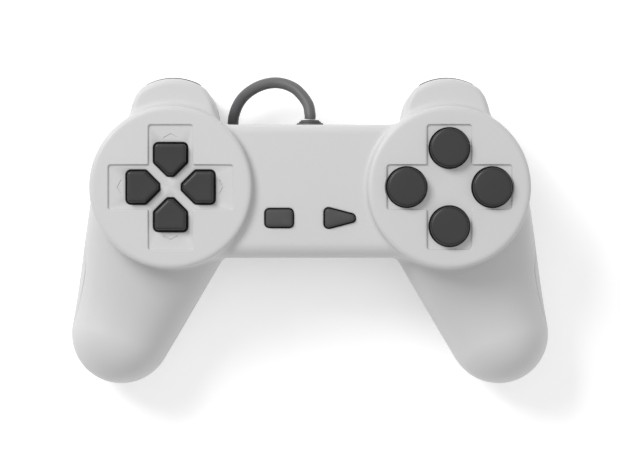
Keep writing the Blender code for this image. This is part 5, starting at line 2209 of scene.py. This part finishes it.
@dataclass
class Plug:
    """A flat moulded plug with a grooved boot, a plated metal shell and a contact tongue."""

    sharp: float = 32.0
    first_rib: float = 9.0
    last_rib: float = 17.5
    rib_pitch: float = 1.8
    groove_pitch: float = 1.3

    def place(
        self, skin: Skin, name: str, finish: Finish, node: str, wardrobe: Wardrobe
    ) -> bpy.types.Object:
        """Lay a skin along the plug's axis and dress it.

        Args:
            skin: The surface, upright.
            name: The piece's name.
            finish: Its finish.
            node: The CAD node that it stands for.
            wardrobe: The finishes.

        Returns:
            The piece.
        """
        laid = skin.along(Axis.RIGHT).moved(0, HANK_LINE, PLUG_HEIGHT)
        piece = laid.build(name, self.sharp)
        wardrobe.dress_piece(piece, finish, HOUSING)
        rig.replaces(piece, node)
        return piece

    def body(self) -> Skin:
        """The moulded grip: an oblong section with five finger grooves and soft ends.

        Returns:
            The grip's skin.
        """
        profile = [(-1.6, 5.5), (-0.8, 5.55), (-0.25, 5.9), (0.0, 6.5), (0.0, 8.6)]
        for rib in np.arange(self.first_rib, self.last_rib, self.rib_pitch):
            profile += [(0.0, rib), (-0.45, rib + 0.25), (-0.45, rib + 0.75), (0.0, rib + 1.0)]
        profile += [(0.0, 22.6), (-0.2, 23.1), (-0.7, 23.4), (-1.6, 23.5)]
        return box_outline(6.8, 3.8, 2.0, 9).skin(profile)

    def boot(self) -> Skin:
        """The flexible boot: a cone with four grooves, which bends with the cord.

        Returns:
            The boot's skin.
        """
        profile = [(2.0, -1.7), (2.45, -1.65), (2.6, -1.4)]
        for index, groove in enumerate(np.arange(-0.6, 4.2, self.groove_pitch)):
            radius = 2.65 + 0.13 * index
            profile += [(radius, groove), (radius - 0.5, groove + 0.12)]
            profile += [(radius - 0.5, groove + 0.55), (radius + 0.05, groove + 0.67)]
        return lathe([*profile, (3.3, 5.6), (3.3, 6.6)], 48)

    def shell(self) -> Skin:
        """The folded metal shell: open at the front, hollow round the tongue."""
        profile = [(-0.1, 23.8), (0.0, 23.9), (0.0, 35.3), (-0.1, 35.5), (-0.28, 35.5)]
        return box_outline(6.0, 2.25, 0.7, 5).skin(profile + [(-0.38, 35.35), (-0.38, 24.4)])

    def build(self, wardrobe: Wardrobe) -> list[bpy.types.Object]:
        """Make the plug's pieces.

        Args:
            wardrobe: The finishes.

        Returns:
            The moulded body, the boot, the metal shell and the tongue.
        """
        body = self.place(self.body(), "plug_grip", Finish.MOULDED, "plug_body", wardrobe)
        boot = self.place(self.boot(), "plug_boot", Finish.MOULDED, "plug_body", wardrobe)
        shell = self.place(self.shell(), "plug_metal", Finish.PLUG, "plug_shell", wardrobe)
        tongue = box_outline(5.2, 0.75, 0.25, 4)
        skin = tongue.skin([(0, 24.9), (0, 34.2), (-0.1, 34.6), (-0.3, 34.7)]).moved(0, 0.0008)
        inner = self.place(skin, "plug_tongue_bar", Finish.PALE, "plug_tongue", wardrobe)
        return [body, boot, shell, inner]


@dataclass
class Insides:
    """The CAD nodes that keep their shape and only take a finish."""

    finishes: dict[str, Finish] = field(
        default_factory=lambda: {
            "main_board": Finish.BOARD,
            "left_shoulder_board": Finish.BOARD,
            "right_shoulder_board": Finish.BOARD,
            "controller_chip": Finish.EPOXY,
            "clock_resonator": Finish.CERAMIC,
            "filter_capacitor": Finish.SLEEVE,
            "cord_header": Finish.PALE,
            "inner_lead": Finish.CORD,
            "left_ribbon": Finish.RIBBON,
            "right_ribbon": Finish.RIBBON,
            "left_shoulder_bracket": Finish.INNER,
            "right_shoulder_bracket": Finish.INNER,
            "dpad_pivot": Finish.INNER,
        }
    )

    def build(self, wardrobe: Wardrobe, nodes: dict[str, bpy.types.Object]) -> None:
        """Dress each node.

        Args:
            wardrobe: The finishes.
            nodes: The CAD nodes, by name.
        """
        for name, finish in self.finishes.items():
            wardrobe.dress_node(nodes[name], finish)
            log.info("%s keeps its shape, %s", name, finish.value)


def main() -> None:
    """Build the studio and every sub-assembly in order."""
    logging.basicConfig(level=logging.INFO, format="%(name)s: %(message)s")
    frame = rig.load()
    cad_box = [list(map(float, corner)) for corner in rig.bounds()]
    wardrobe = Wardrobe()
    Studio().build()
    plug = Plug().build(wardrobe)
    tie = CordTie().build(wardrobe)
    relief = StrainRelief().build(wardrobe)
    Cord().build(wardrobe, [*plug, tie, relief])
    Housing().build(wardrobe)
    DirectionPad().build(wardrobe)
    FaceButtons().build(wardrobe)
    MenuKeys().build(wardrobe)
    Triggers().build(wardrobe)
    RubberMats().build(wardrobe)
    Screws().build(wardrobe)
    Insides().build(wardrobe, frame["nodes"])
    box = [list(map(float, corner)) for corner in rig.bounds()]
    with open("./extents.json", "w") as sizes:
        json.dump({"cad": cad_box, "visual": box}, sizes)


if __name__ == "__main__":
    main()
